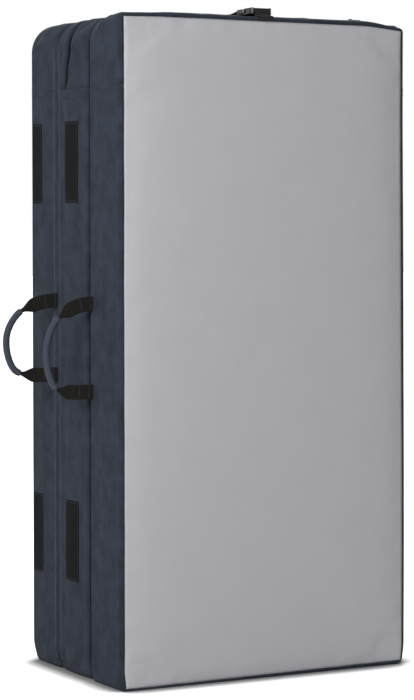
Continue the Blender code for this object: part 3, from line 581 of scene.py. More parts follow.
def woven_cloth(name, light, dark, thread, roughness, wear, blotch=14.0, crease=0.0006):
    """Plain-woven polyester: threads over and under each other, each a little lighter or darker,
    and dye that varies slowly. Real threads are about 0.8 mm; drawn coarser to show at all."""
    material, tree, shader = start_material(name, roughness, 0.15, 0.03)
    uv = add_node(tree, "ShaderNodeUVMap", uv_map="cloth")
    waves = thread_waves(tree, uv, (2 * thread, 2 * thread))
    over = add_node(tree, "ShaderNodeMath", dict(enumerate(waves)), operation="MULTIPLY")
    height = add_node(tree, "ShaderNodeMath", {0: over}, operation="ABSOLUTE")
    yarn = add_node(tree, "ShaderNodeTexNoise", {"Vector": uv, "Scale": 420.0, "Detail": 2.0})
    share = {0: over, 1: 0.22, 2: yarn}
    share = add_node(tree, "ShaderNodeMath", share, operation="MULTIPLY_ADD")
    base = {0: share, 6: linear(dark), 7: linear(light)}
    base = add_node(tree, "ShaderNodeMix", base, data_type="RGBA")
    colour = worn(tree, uv, base, linear(light), wear, (0.38, 0.62), blotch, 6.0, 0.6)
    fine = {"Height": height, "Distance": thread * 0.2, "Strength": 0.35}
    fine = add_node(tree, "ShaderNodeBump", fine)
    soft = add_node(tree, "ShaderNodeTexNoise", {"Vector": uv, "Scale": 34.0, "Detail": 2.0})
    surface(tree, shader, colour, soft, crease, 0.5, fine)
    return material


landing_cloth = woven_cloth("grey_coated_polyester", "#bab9be", "#b0afb4", 0.0014, 0.62, 0.35)
cover_cloth = woven_cloth(
    "blue_grey_ballistic_polyester", "#2f3643", "#0f1219", 0.0018, 0.8, 0.8, 30.0, 0.0030
)

outline = [edge_place("rear", columns[i], rows[k], wall, 0.0, 0.0)[:2] for i, k, wall in stations]
wall_travel = [0.0]
for before, after in zip(outline, outline[1:]):
    wall_travel.append(wall_travel[-1] + math.dist(before, after))


def cloth_map(mesh, used, points, on_wall):
    """The cloth map in metres along the threads: round the outline and across for a wall."""
    layer = mesh.uv_layers.new(name="cloth")
    for loop in mesh.loops:
        number = used[loop.vertex_index]
        spot = (points[number].x, points[number].z)
        if on_wall:
            spot = (wall_travel[number // wall_rows], points[number].y)
        layer.data[loop.index].uv = spot


def dress(piece, node, body):
    """Hides the CAD node that a piece stands for, if any, and puts the piece on the body it moves
    with.
    """
    if node:
        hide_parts(node)
    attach(piece, body)


surfaces = {}
for name, panel in panels.items():
    points, held, numbers = cover_points(name)
    cut = cover_faces(numbers)
    everything = [quad for cloth in cut.values() for quad in cloth]
    points = settle(points, everything, held)
    surfaces[name] = BVHTree.FromPolygons(points, everything)
    wide = 2 * panel["half"]
    landing = panel["landing"]
    over = panel_width + 2 * (panel_height - cross_height)
    jobs = (
        ("face_cloth", "face_sheet", landing, (panel_width, panel_height), "face"),
        ("back_cloth", "back_sheet", -landing, (panel_width, panel_height), "base"),
        ("boxing_cloth", "boxing", "boxing", (wide, 2 * cross_height + panel_width), "core"),
        ("zip_boxing_cloth", "zip_boxing", "zip_boxing", (wide, over), "core"),
    )
    for label, node, key, flat, foam in jobs:
        mesh, used = mesh_of(f"{name}_{label}", points, cut[key])
        cloth_map(mesh, used, points, key not in (-1, 1))
        cloth, slot = cover_cloth, "cover_fabric"
        if key == landing:
            cloth, slot = landing_cloth, "landing_fabric"
        piece = add_piece(f"{name}_{label}", mesh, cloth)
        thick = piece.modifiers.new("thickness", "SOLIDIFY")
        thick.thickness = cloth_thickness
        thick.offset = -1.0
        dress(piece, f"{name}_{node}", f"{name}_panel")

# Cross seams
# Where the plain boxing meets the zip boxing, the cloth is lapped and sewn down with two rows of
# thread. The strip is the lap, folded from the same cloth; the stitches are bonded polyester.

lap_height = 0.016
lap_thickness = 0.0013
lap_inset = 0.0045
lap_columns = 19
stitch_rows = 0.0046
topstitch_size = (0.0042, 0.0031, 0.0008)
tack_size = (0.0016, 0.0019, 0.0005)
cloth_gap = 0.0002


def touch(name, point, inward):
    """The spot of a panel's cover that a straight line meets, and the cover's normal there."""
    inward = Vector(inward)
    spot, normal, _, _ = surfaces[name].ray_cast(Vector(point) - inward * corner_zone, inward)
    if spot is None:
        return Vector(point), -inward
    return spot, (normal if normal.dot(inward) < 0 else -normal)


def wall_touch(name, side, y, z):
    return touch(name, (side * half_width, y, z), (-side, 0.0, 0.0))


def wall_line(name, side, places, lift):
    """A line of thread on a side wall, through places given as (y, z)."""
    out = Vector((side * lift, 0.0, 0.0))
    return [wall_touch(name, side, y, z)[0] + out for y, z in places]


def spread(start, end, count):
    return [start + (end - start) * step / (count - 1) for step in range(count)]


def rectangle(low_x, high_x, low_y, high_y, wide=9, high=9):
    """Places round a rectangle and back to the first one."""
    line = [(x, low_y) for x in spread(low_x, high_x, wide)]
    line += [(high_x, y) for y in spread(low_y, high_y, high)[1:]]
    line += [(x, high_y) for x in spread(high_x, low_x, wide)[1:]]
    return line + [(low_x, y) for y in spread(high_y, low_y, high)[1:]]


def finish_mesh(name, points, faces, spots, material, sharp=35):
    """A closed mesh with outward faces; spots holds the cloth map of each point."""
    mesh = bpy.data.meshes.new(name)
    mesh.from_pydata(points, [], faces)
    lay_map = mesh.uv_layers.new(name="cloth")
    for loop in mesh.loops:
        lay_map.data[loop.index].uv = spots[loop.vertex_index]
    work = bmesh.new()
    work.from_mesh(mesh)
    bmesh.ops.recalc_face_normals(work, faces=work.faces)
    work.to_mesh(mesh)
    work.free()
    mesh.shade_smooth()
    mesh.set_sharp_from_angle(angle=math.radians(sharp))
    return add_piece(name, mesh, material)


def travels(points):
    """How far along a line each of its points lies."""
    found = [0.0]
    for before, after in zip(points, points[1:]):
        found.append(found[-1] + (after - before).length)
    return found


def lay(name, grid, thickness, material, gap=cloth_gap, hem=0.4):
    """Cloth lying on a surface: grid holds rows of (spot, normal); its border is pressed thin."""
    high = len(grid)
    wide = len(grid[0])
    along = travels([spot for spot, _ in grid[0]])
    up = travels([row[0][0] for row in grid])
    points, spots, faces = [], [], []
    for level in (0, 1):
        for r, row in enumerate(grid):
            for c, (spot, normal) in enumerate(row):
                border = r in (0, high - 1) or c in (0, wide - 1)
                points.append(spot + normal * (gap + level * thickness * (hem if border else 1.0)))
                spots.append((along[c], up[r]))
    top = high * wide
    for r in range(high - 1):
        for c in range(wide - 1):
            quad = (r * wide + c, r * wide + c + 1, (r + 1) * wide + c + 1, (r + 1) * wide + c)
            faces.append(quad)
            faces.append(tuple(number + top for number in reversed(quad)))
    rim = [*range(wide), *range(2 * wide - 1, top, wide)]
    rim += [*range(top - 2, top - wide - 1, -1), *range(top - 2 * wide, 0, -wide)]
    for number, after in zip(rim, rim[1:] + rim[:1]):
        faces.append((number, after, after + top, number + top))
    return finish_mesh(name, points, faces, spots, material)


def thread_material(name, light, dark):
    """Twisted thread: a slight sheen, lighter where the ply catches the light."""
    material, tree, shader = start_material(name, 0.55, 0.4, 0.2)
    place = add_node(tree, "ShaderNodeTexCoord").outputs["Object"]
    ply = add_node(tree, "ShaderNodeTexNoise", {"Vector": place, "Scale": 600.0, "Detail": 1.0})
    colour = {0: ply, 6: linear(dark), 7: linear(light)}
    give(tree, shader, {"Base Color": add_node(tree, "ShaderNodeMix", colour, data_type="RGBA")})
    return material


def row_tree(name, unit):
    """A node tree that sets a small solid at every pitch along lines; unit gives the solid and how
    it is turned and scaled, from the sizes given and the way that the line runs."""
    tree = bpy.data.node_groups.new(name, "GeometryNodeTree")
    tree.interface.new_socket("Geometry", in_out="INPUT", socket_type="NodeSocketGeometry")
    for label in ("Pitch", "Length", "Thickness"):
        tree.interface.new_socket(label, in_out="INPUT", socket_type="NodeSocketFloat")
    tree.interface.new_socket("Material", in_out="INPUT", socket_type="NodeSocketMaterial")
    tree.interface.new_socket("Geometry", in_out="OUTPUT", socket_type="NodeSocketGeometry")
    given = tree.nodes.new("NodeGroupInput").outputs
    curve = add_node(tree, "GeometryNodeMeshToCurve", {"Mesh": given["Geometry"]})
    spots = {"Curve": curve, "Length": given["Pitch"]}
    spots = add_node(tree, "GeometryNodeCurveToPoints", spots, mode="LENGTH")
    placed = {"Points": spots, **unit(tree, given, spots.outputs["Tangent"])}
    placed = add_node(tree, "GeometryNodeInstanceOnPoints", placed)
    real = add_node(tree, "GeometryNodeRealizeInstances", {"Geometry": placed})
    dyed = {"Geometry": real, "Material": given["Material"]}
    dyed = add_node(tree, "GeometryNodeSetMaterial", dyed)
    add_node(tree, "NodeGroupOutput", {"Geometry": dyed})
    return tree


def bead(tree, given, tangent):
    """A stitch: one long bead of thread that lies along the line."""
    turn = add_node(tree, "FunctionNodeAlignRotationToVector", {"Vector": tangent}, axis="Z")
    size = {"X": given["Thickness"], "Y": given["Thickness"], "Z": given["Length"]}
    size = add_node(tree, "ShaderNodeCombineXYZ", size)
    ball = add_node(tree, "GeometryNodeMeshIcoSphere", {"Radius": 0.5, "Subdivisions": 1})
    ball = add_node(tree, "GeometryNodeSetShadeSmooth", {"Geometry": ball})
    return {"Instance": ball, "Rotation": turn, "Scale": size}


def grow(name, lines, tree, sizes, material, body):
    """Runs a node tree along lines of points and keeps what it makes as a piece on a body."""
    points, edges = [], []
    for line in lines:
        edges += [(len(points) + step, len(points) + step + 1) for step in range(len(line) - 1)]
        points += line
    mesh = bpy.data.meshes.new(name)
    mesh.from_pydata(points, edges, [])
    guide = add_piece(name + "_lines", mesh)
    modifier = guide.modifiers.new("nodes", "NODES")
    modifier.node_group = tree
    wanted = [item.identifier for item in tree.interface.items_tree if item.in_out == "INPUT"]
    for identifier, value in zip(wanted[1:], (*sizes, material)):
        modifier[identifier] = value
    done = guide.evaluated_get(bpy.context.evaluated_depsgraph_get())
    piece = add_piece(name, bpy.data.meshes.new_from_object(done))
    bpy.data.objects.remove(guide, do_unlink=True)
    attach(piece, body)
    return piece


topstitch = row_tree("topstitch", bead)
blue_thread = thread_material("blue_grey_thread", "#737a88", "#545a67")
seam_thread = thread_material("dark_blue_thread", "#20242c", "#16191f")
black_thread = thread_material("black_thread", "#34353a", "#1d1e21")


def stitch(name, lines, body, thread=blue_thread, size=topstitch_size):
    return grow(name, lines, topstitch, size, thread, body)


for name, panel in panels.items():
    lines = []
    reach = panel["half"] - lap_inset
    places = [panel["middle"] + place for place in spread(-reach, reach, lap_columns)]
    lower = lap_height / 2 if name == "middle" else 0.0
    heights = spread(cross_height - lap_height / 2, cross_height + lap_height / 2, 5)
    heights = [height - lower for height in heights]
    for side, label in ((-1, "left"), (1, "right")):
        grid = [[wall_touch(name, side, y, z) for y in places] for z in heights]
        lap = lay(f"{name}_{label}_cross_seam_lap", grid, lap_thickness, cover_cloth, hem=0.8)
        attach(lap, f"{name}_panel")
        for row in (-1, 1):
            line = [wall_touch(name, side, y, heights[2] + row * stitch_rows) for y in places]
            line = [spot + normal * (lap_thickness + 2 * cloth_gap) for spot, normal in line]
            lines.append(line)
    stitch(f"{name}_cross_seam_stitches", lines, f"{name}_panel", seam_thread)

# Zips
# A coil zip lies in every zip boxing: polyester tape with two rows of nylon coil, black. It runs
# over the whole top of the middle panel and down to both cross seams, and over the top only of
# the outer panels. The sliders are zinc with a flat pull.

tape_share = 0.88
tape_lift = 0.0006
tape_rim = 0.0009
coil_pitch = 0.0024
coil_radius = 0.0007
coil_reach = 0.0024
coil_start = 0.35
tape_start = 0.02
tape_shares = (-1.0, -0.6, 0.0, 0.6, 1.0)
slider_body = (
    (0.0, -0.0036, 0.0, 0.0118, 0.0036, 0.0011),
    (0.0006, -0.0032, 0.0017, 0.0110, 0.0032, 0.0030),
    (0.0040, -0.0008, 0.0009, 0.0066, 0.0008, 0.0020),
    (0.0030, -0.0011, 0.0028, 0.0044, 0.0011, 0.0044),
    (0.0030, -0.0011, 0.0042, 0.0092, 0.0011, 0.0052),
)
slider_pull = (
    (0.0050, -0.0022, 0.0032, 0.0074, 0.0022, 0.0040),
    (0.0070, 0.0012, 0.0032, 0.0120, 0.0024, 0.0040),
    (0.0070, -0.0024, 0.0032, 0.0120, -0.0012, 0.0040),
    (0.0118, -0.0028, 0.0032, 0.0255, 0.0028, 0.0040),
)


def plain_material(name, colour, roughness, metallic=0.0, grain=0.0004, specular=0.5):
    """Moulded plastic or coated metal with a fine grain and a little wear."""
    material, tree, shader = start_material(name, roughness, specular)
    give(tree, shader, {"Metallic": metallic})
    place = add_node(tree, "ShaderNodeTexCoord").outputs["Object"]
    base = linear(colour)
    lighter = (*(min(part * 1.7 + 0.004, 1.0) for part in base[:3]), 1.0)
    colours = worn(tree, place, base, lighter, 0.6, (0.45, 0.75), 90.0, 4.0)
    fine = add_node(tree, "ShaderNodeTexNoise", {"Vector": place, "Scale": 1 / grain})
    surface(tree, shader, colours, fine, grain / 10, 0.3)
    return material


def coil_bar(tree, given, tangent):
    """A coil tooth: one rounded bar that lies flat across the line."""
    turn = add_node(tree, "FunctionNodeAlignRotationToVector", {"Vector": tangent}, axis="X")
    turn = {"Rotation": turn, "Vector": (0.0, 1.0, 0.0)}
    turn = add_node(tree, "FunctionNodeAlignRotationToVector", turn, axis="Z", pivot_axis="X")
    bar = {"Vertices": 8, "Radius": given["Thickness"], "Depth": given["Length"]}
    return {"Instance": add_node(tree, "GeometryNodeMeshCylinder", bar), "Rotation": turn}


def boxes(name, origin, table, material, bevel):
    """One piece of separate boxes with rounded edges, from rows of low and high corners."""
    work = bmesh.new()
    for row in table:
        low = Vector(a + b for a, b in zip(origin, row[:3]))
        high = Vector(a + b for a, b in zip(origin, row[3:]))
        for vertex in bmesh.ops.create_cube(work, size=1.0)["verts"]:
            vertex.co = Vector(a * b for a, b in zip(vertex.co, high - low)) + (high + low) / 2
    bmesh.ops.bevel(
        work, geom=work.edges, offset=bevel, segments=2, affect="EDGES", profile=0.5
    )
    bmesh.ops.recalc_face_normals(work, faces=work.faces)
    mesh = bpy.data.meshes.new(name)
    work.to_mesh(mesh)
    work.free()
    mesh.shade_smooth()
    mesh.set_sharp_from_angle(angle=math.radians(50))
    return add_piece(name, mesh, material)


zip_cloth = woven_cloth("black_zip_tape", "#0c0d11", "#060709", 0.0010, 0.85, 0.2)
nylon = plain_material("black_nylon_coil", "#060709", 0.7, specular=0.1)
zinc = plain_material("black_coated_zinc", "#2c2d30", 0.35, 0.8)
coil = row_tree("coil", coil_bar)
for name in panels:
    body = f"{name}_panel"
    strip, line = [], []
    for station in stations:
        i, k, on_wall = station
        x, z, across, up = edge_place(name, columns[i], rows[k], on_wall, zip_offset, 0.0)
        opened = zip_open(name, x, z, up)
        if up < 0 or z < cross_height or opened < tape_start:
            continue
        centre = zip_centre(name, z)
        reach = (tape_share * zip_half_width - cloth_gap) * slit_share(opened)
        sunk = tape_lift - zip_recess * opened
        out = Vector((across, 0.0, up))
        row = [centre + share * reach for share in tape_shares]
        strip.append([(wall_point(name, station, 0, depth, sunk)[0], out) for depth in row])
        if opened > coil_start:
            lift = sunk + tape_rim + coil_radius + cloth_gap
            row = [centre + side * coil_reach / 2 for side in (-1, 1)]
            low, high = (wall_point(name, station, 0, depth, lift)[0] for depth in row)
            line.append((low + high) / 2)
    tape = lay(f"{name}_zip_tape", strip, tape_rim, zip_cloth, 0.0, 0.8)
    dress(tape, f"{name}_zip", body)
    sizes = (coil_pitch, 2 * coil_reach, coil_radius)
    grow(f"{name}_zip_coil", [line], coil, sizes, nylon, body)

    low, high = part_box(f"{name}_zip_slider")
    origin = (low[0], (low[1] + high[1]) / 2, low[2])
    piece = boxes(f"{name}_slider_body", origin, slider_body, zinc, 0.0004)
    dress(piece, f"{name}_zip_slider", f"{name}_slider")
    piece = boxes(f"{name}_slider_pull", origin, slider_pull, zinc, 0.0003)
    dress(piece, None, f"{name}_slider")

# Hook-and-loop patches
# Woven nylon with hooks or loops on it, cut with square corners and sewn down round the border.
# Two lie on each wall that meets another wall when the pad is open.

patch_thickness = 0.0016
patch_border = 0.0032
patch_cells = (12, 29)


def pile_material(name, light, dark, pile):
    """Hook or loop tape: rows of short black pile, which real tape has about every 1.5 mm."""
    material, tree, shader = start_material(name, 0.92, 0.08, 0.02)
    uv = add_node(tree, "ShaderNodeUVMap", uv_map="cloth")
    cells = add_node(tree, "ShaderNodeTexVoronoi", {"Vector": uv, "Scale": 1 / pile})
    base = {0: cells, 6: linear(light), 7: linear(dark)}
    base = add_node(tree, "ShaderNodeMix", base, data_type="RGBA")
    colour = worn(tree, uv, base, linear(light), 0.5, (0.5, 0.8), 60.0, 3.0)
    surface(tree, shader, colour, cells, pile / 3, 0.8)
    return material


hook_pile = pile_material("black_hook_tape", "#1a1b20", "#08080b", 0.0015)
loop_pile = pile_material("black_loop_tape", "#17181c", "#07070a", 0.0011)
patch_lines = {}
for place, name, side, pile, slot in (
    ("rear_left", "rear", -1, hook_pile, "hook_tape"),
    ("middle_left", "middle", -1, loop_pile, "loop_tape"),
    ("middle_right", "middle", 1, hook_pile, "hook_tape"),
    ("front_right", "front", 1, loop_pile, "loop_tape"),
):
    outward = Vector((side, 0.0, 0.0))
    for level in ("lower", "upper"):
        node = f"{place}_patch_{level}"
        low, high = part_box(node)
        grid = []
        for z in spread(low[2], high[2], patch_cells[1]):
            row = [wall_touch(name, side, y, z) for y in spread(low[1], high[1], patch_cells[0])]
            grid.append([(spot, (normal + 2 * outward).normalized()) for spot, normal in row])
        patch = lay(f"{place}_{level}_tape", grid, patch_thickness, pile, cloth_gap, 0.5)
        dress(patch, node, f"{name}_panel")
        border = (low[1] + patch_border, high[1] - patch_border)
        border += (low[2] + patch_border, high[2] - patch_border)
        line = wall_line(name, side, rectangle(*border, 9, 25), patch_thickness + 2 * cloth_gap)
        patch_lines.setdefault(name, []).append(line)
for name, lines in patch_lines.items():
    stitch(f"{name}_patch_stitches", lines, f"{name}_panel", black_thread)

# Hinge tapes
# The cover's own cloth bridges the crease between two panels: one tape on the left wall between
# rear and middle, one on the right wall between middle and front. Both are sewn down with a row
# of thread on either panel, close to the seam.

tape_half_width = 0.013
tape_thickness = 0.0010
tape_bottom = 0.016
tape_top = 1.104
tape_crease = 0.0016
tape_wave = 0.0003
tape_top_share = 0.55
tape_taper = 0.022
tape_stitch_inset = 0.0016
tape_stitch_start = 0.004
tape_rows = 108
tape_columns = 15


def tape_grid(side, boundary, panel_low, panel_high):
    """Rows of spots over the crease: on the walls at both edges, drawn in at the seam."""
    outward = Vector((side, 0.0, 0.0))
    grid = []
    for z in spread(tape_bottom, tape_top, tape_rows):
        row = []
        narrow = tape_top_share + (1 - tape_top_share) * ease((tape_top - z) / tape_taper)
        narrow *= tape_half_width
        low = wall_touch(panel_low, side, boundary - tape_half_width, z)[0].x
        high = wall_touch(panel_high, side, boundary + tape_half_width, z)[0].x
        for y in spread(boundary - narrow, boundary + narrow, tape_columns):
            share = (y - boundary) / tape_half_width
            spot, _ = wall_touch(panel_low if share < 0 else panel_high, side, y, z)
            chord = low + (high - low) * (share + 1) / 2
            chord -= side * tape_crease * max(1 - abs(share) * 2.4, 0.0)
            chord += side * tape_wave * noise.noise(Vector((0.0, y * 20, z * 22)))
            reach = max(side * chord, side * spot.x)
            row.append((Vector((side * reach, y, z)), outward))
        grid.append(row)
    return grid


for label, side, boundary, low_name, high_name in (
    ("left", -1, pitch / 2, "middle", "rear"),
    ("right", 1, -pitch / 2, "front", "middle"),
):
    grid = tape_grid(side, boundary, low_name, high_name)
    tape = lay(f"{label}_hinge_cloth", grid, tape_thickness, cover_cloth, cloth_gap, 0.2)
    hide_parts(f"{label}_hinge_tape")
    x = side * (half_width + cloth_gap)
    end = (x, boundary - side * tape_half_width, 0.5)
    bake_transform(tape)
    flat = (2 * tape_half_width, tape_top - tape_bottom)
    for name, sign in ((low_name, -1), (high_name, 1)):
        y = boundary + sign * (tape_half_width - tape_stitch_inset)
        ends = (tape_bottom + tape_stitch_start, tape_top - tape_taper)
        places = [(y, z) for z in spread(*ends, tape_rows)]
        line = wall_line(name, side, places, tape_thickness + cloth_gap)
        stitch(f"{label}_hinge_{name}_stitches", [line], f"{name}_panel")

# Carry handles
# Each is one 25 mm webbing, flat where it is sewn into the seam and folded lengthwise in its
# middle, where a sleeve of the cover's own cloth is stitched over it. Bar-tacks hold both ends.

webbing_width = 0.025
webbing_thickness = 0.0022
core_radius = 0.0036
grip_radius = 0.0060
grip_length = 0.130
flat_run = 0.045
handle_rings = 90
handle_shares = (
    (0.0, 1.0), (0.12, 1.0), (0.34, 0.95), (0.58, 0.82), (0.76, 0.68), (0.92, 0.38), (1.0, 0.02),
    (0.98, -0.42), (0.87, -0.80), (0.70, -0.95), (0.40, -1.0), (0.14, -1.0), (0.0, -1.0),
)
webbing_edge = (
    (-1.0, 0.45), (-0.96, 1.0), (-0.6, 1.0), (0.0, 1.0), (0.6, 1.0), (0.96, 1.0), (1.0, 0.45),
)
hem_length = 0.004
hem_depth = 0.0010
hem_swell = 1.03
crease_depth = 0.0002
tack_places = (0.007, 0.024)
tack_half = 0.0014
tack_lift = 0.0003
tack_share = 0.86


def smooth_route(points, steps):
    """Points along a curve through the given points, the same number in each stretch."""
    points = [Vector(point) for point in points]
    ends = [points[0], *points, points[-1]]
    route = []
    for first, start, end, last in zip(ends, ends[1:], ends[2:], ends[3:]):
        for step in range(steps):
            share = step / steps
            square = share * share
            cube = square * share
            route.append(
                start * (2 * cube - 3 * square + 1)
                + (end - first) / 2 * (cube - 2 * square + share)
                + end * (3 * square - 2 * cube)
                + (last - start) / 2 * (cube - square)
            )
    route.append(points[-1])
    return route


def spaced(route, count):
    """The route again as count points, equally far apart, and its length."""
    lengths = travels(route)
    found = []
    segment = 1
    for wanted in (lengths[-1] * step / (count - 1) for step in range(count)):
        while segment < len(route) - 1 and lengths[segment] < wanted:
            segment += 1
        stretch = max(lengths[segment] - lengths[segment - 1], 1e-9)
        share = clip((wanted - lengths[segment - 1]) / stretch)
        found.append(route[segment - 1].lerp(route[segment], share))
    return found, lengths[-1]


def tangents(route):
    """The way that a route runs at each of its points."""
    ends = [route[0], *route, route[-1]]
    return [(after - before).normalized() for before, after in zip(ends, ends[2:])]


def loft(name, rings, material, sharp=40):
    """A closed solid through rings of as many points each; its cloth map runs along and round."""
    count = len(rings[0])
    last = (len(rings) - 1) * count
    points = [Vector(point) for ring in rings for point in ring]
    faces = [tuple(reversed(range(count)))]
    for low in range(0, last, count):
        for side in range(count):
            after = (side + 1) % count
            faces.append((low + side, low + after, low + count + after, low + count + side))
    faces.append(tuple(last + side for side in range(count)))
    along = travels([ring[0] for ring in rings])
    spots = [(travel, around) for travel, ring in zip(along, rings) for around in travels(ring)]
    return finish_mesh(name, points, faces, spots, material, sharp)


def strip_ring(point, along, across, half_wide, half_thick, edge=webbing_edge, dish=0.0):
    """A ring of webbing or padding: edge gives how thick it is at shares of its half width."""
    normal = along.cross(across).normalized()
    ring = []
    for side in (1, -1):
        for share, thick in edge:
            lift = side * (half_thick * thick) + dish * (1 - share * share)
            ring.append(point + across * (half_wide * share * side) + normal * lift)
    return ring


def webbing_strip(name, path, across, width, thickness, material, wave=0.0002):
    """Webbing along a path, its width along across, with the small waves that real webbing has."""
    path = [Vector(point) for point in path]
    across = Vector(across)
    rings = []
    for point, along in zip(path, tangents(path)):
        dish = wave * noise.noise(point * 60)
        ring = strip_ring(point, along, across, width / 2, thickness / 2, dish=dish)
        rings.append(ring)
    return loft(name, rings, material)


def webbing_material(name, light, dark, rib, wear=0.35):
    """Woven webbing: ribs across it and yarns along it. Real ribs are about 1.2 mm apart."""
    material, tree, shader = start_material(name, 0.72, 0.15, 0.03)
    uv = add_node(tree, "ShaderNodeUVMap", uv_map="cloth")
    waves = thread_waves(tree, uv, (rib, 2.2 * rib))
    both = add_node(tree, "ShaderNodeMath", dict(enumerate(waves)), operation="ADD")
    ribs = {"Value": both, "From Min": -2.0, "From Max": 2.0}
    ribs = add_node(tree, "ShaderNodeMapRange", ribs)
    base = {0: ribs, 6: linear(dark), 7: linear(light)}
    base = add_node(tree, "ShaderNodeMix", base, data_type="RGBA")
    colour = worn(tree, uv, base, linear(light), wear, (0.45, 0.8), 45.0, 4.0)
    surface(tree, shader, colour, ribs, rib / 3, 0.7)
    return material


def zigzag(start, end, across, teeth):
    """The line of a bar-tack: thread to and fro across a webbing."""
    line = []
    for step in range(2 * teeth + 1):
        side = across if step % 2 else -across
        line.append(start.lerp(end, step / (2 * teeth)) + side)
    return line


def handle_ring(point, normal, half_high, half_thick, sides=14):
    """A ring across a handle's route: flat in the handle's plane, or round where folded."""
    roundness = half_thick / half_high
    ring = []
    for side in range(sides):
        angle = 2 * math.pi * (side + 1 / 2) / sides
        across = math.copysign(abs(math.cos(angle)) ** roundness, math.cos(angle))
        out = math.copysign(abs(math.sin(angle)) ** roundness, math.sin(angle))
        ring.append(point + normal * half_high * across + Vector((0.0, half_thick * out, 0.0)))
    return ring


webbing = webbing_material("black_polyester_webbing", "#26241f", "#121110", 0.0014)
sleeve = woven_cloth("blue_grey_sleeve_cloth", "#4a505d", "#23262e", 0.0022, 0.8, 0.5)
for name, span, reach, height, plane_y in (
    ("rear", 0.129, 0.097, 0.583, pitch / 2),
    ("front", 0.149, 0.086, 0.571, -pitch / 2 - 0.0165),
):
    body = f"{name}_handle"
    _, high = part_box(f"{name}_handle_webbing")
    corners = []
    for out, up in handle_shares:
        corners.append((high[0] - reach * out, plane_y, height + span / 2 * up))
    route, length = spaced(smooth_route(corners, 12), handle_rings)
    ring_gap = length / (handle_rings - 1)
    grip_start = (length - grip_length) / 2
    flat, cover, tacks = [], [], []
    for index, (point, along) in enumerate(zip(route, tangents(route))):
        normal = Vector((-along.z, 0.0, along.x)).normalized()
        travel = length * index / (handle_rings - 1)
        from_end = min(travel, length - travel)
        folded = ease((from_end - flat_run) / (grip_start - flat_run))
        half_high = webbing_width / 2 + (core_radius - webbing_width / 2) * folded
        half_thick = webbing_thickness / 2 + (core_radius - webbing_thickness / 2) * folded
        flat.append(handle_ring(point, normal, half_high, half_thick))
        if from_end > grip_start:
            hem = ease((from_end - grip_start) / hem_length)
            creases = crease_depth * abs(math.sin(from_end * 260))
            plump = grip_radius - hem_depth * (1 - hem) - creases
            cover.append(handle_ring(point, normal, plump, plump, 20))
        if min(abs(from_end - place) for place in tack_places) < ring_gap / 2:
            side = normal * (half_high * tack_share)
            for out in (-1, 1):
                lift = Vector((0.0, out * (half_thick + tack_lift), 0.0))
                near = point + lift - along * tack_half
                tacks.append(zigzag(near - side, near + side, along * tack_half, 11))
    piece = loft(f"{name}_handle_strap", flat, webbing)
    dress(piece, f"{name}_handle_webbing", body)
    piece = loft(f"{name}_handle_sleeve", cover, sleeve)
    dress(piece, f"{name}_handle_grip", body)
    hems = []
    for ring in (cover[2], cover[-3]):
        middle = sum(ring, Vector()) / len(ring)
        hems.append([middle + (point - middle) * hem_swell for point in ring + ring[:1]])
    stitch(f"{name}_handle_sleeve_stitches", hems, body)
    stitch(f"{name}_handle_bar_tacks", tacks, body, black_thread, tack_size)

# Closure strap and buckles
# A 30 mm webbing over the top holds the closed pad together: a short end sewn into the front
# panel's seam, a long one into the rear panel's, and an acetal side-release buckle between them.

strap_width = 0.030
strap_thickness = 0.0016
strap_tail = 0.060
strap_gap = 0.0004
buckle_thickness = 0.011
female_length = 0.031
male_length = 0.024
buckle_play = 0.0003
buckle_setback = 0.016
bar_length = 0.0042
half_bar = bar_length / 2
sewn_dip = 0.0035
acetal = plain_material("black_moulded_acetal", "#17181a", 0.38, 0.0, 0.0008)
strap_webbing = webbing_material("black_strap_webbing", "#2a2b2c", "#141516", 0.0014)


def moulded(name, node, body, bevel=0.0005):
    """A moulded part in the CAD part's own shape, with its edges rounded."""
    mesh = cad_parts[node].data.copy()
    mesh.name = name
    work = bmesh.new()
    work.from_mesh(mesh)
    bmesh.ops.remove_doubles(work, verts=work.verts, dist=1e-6)
    bmesh.ops.dissolve_limit(work, angle_limit=0.02, verts=work.verts, edges=work.edges)
    bmesh.ops.recalc_face_normals(work, faces=work.faces)
    work.to_mesh(mesh)
    work.free()
    mesh.materials.clear()
    mesh.shade_smooth()
    rough = add_piece(name, mesh, acetal)
    rounding = rough.modifiers.new("edges", "BEVEL")
    rounding.width = bevel
    rounding.segments = 2
    rounding.limit_method = "ANGLE"
    rounding.use_clamp_overlap = True
    done = rough.evaluated_get(bpy.context.evaluated_depsgraph_get())
    mesh = bpy.data.meshes.new_from_object(done)
    mesh.set_sharp_from_angle(angle=math.radians(40))
    bpy.data.objects.remove(rough, do_unlink=True)
    dress(add_piece(name, mesh), node, body)


def wrap(centre_along, centre_up, radius, start, end, steps=14):
    """Points of an arc round a bar, as (along, up) pairs, with angles in degrees."""
    arc = []
    for step in range(steps + 1):
        angle = math.radians(start + (end - start) * step / steps)
        arc.append((centre_along + radius * math.cos(angle), centre_up + radius * math.sin(angle)))
    return arc


def wrap_radius(bar_thickness):
    return math.hypot(bar_length, bar_thickness) / 2 + buckle_play + strap_thickness / 2


def strip(name, node, path, across=(1, 0, 0), width=strap_width):
    """A piece of strap webbing in its slot, in the place of its CAD node."""
    piece = webbing_strip(name, path, across, width, strap_thickness, strap_webbing)
    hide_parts(node)
    return piece


def top_touch(name, y):
    return touch(name, (0.0, y, panel_height + 0.02), (0.0, 0.0, -1.0))[0].z


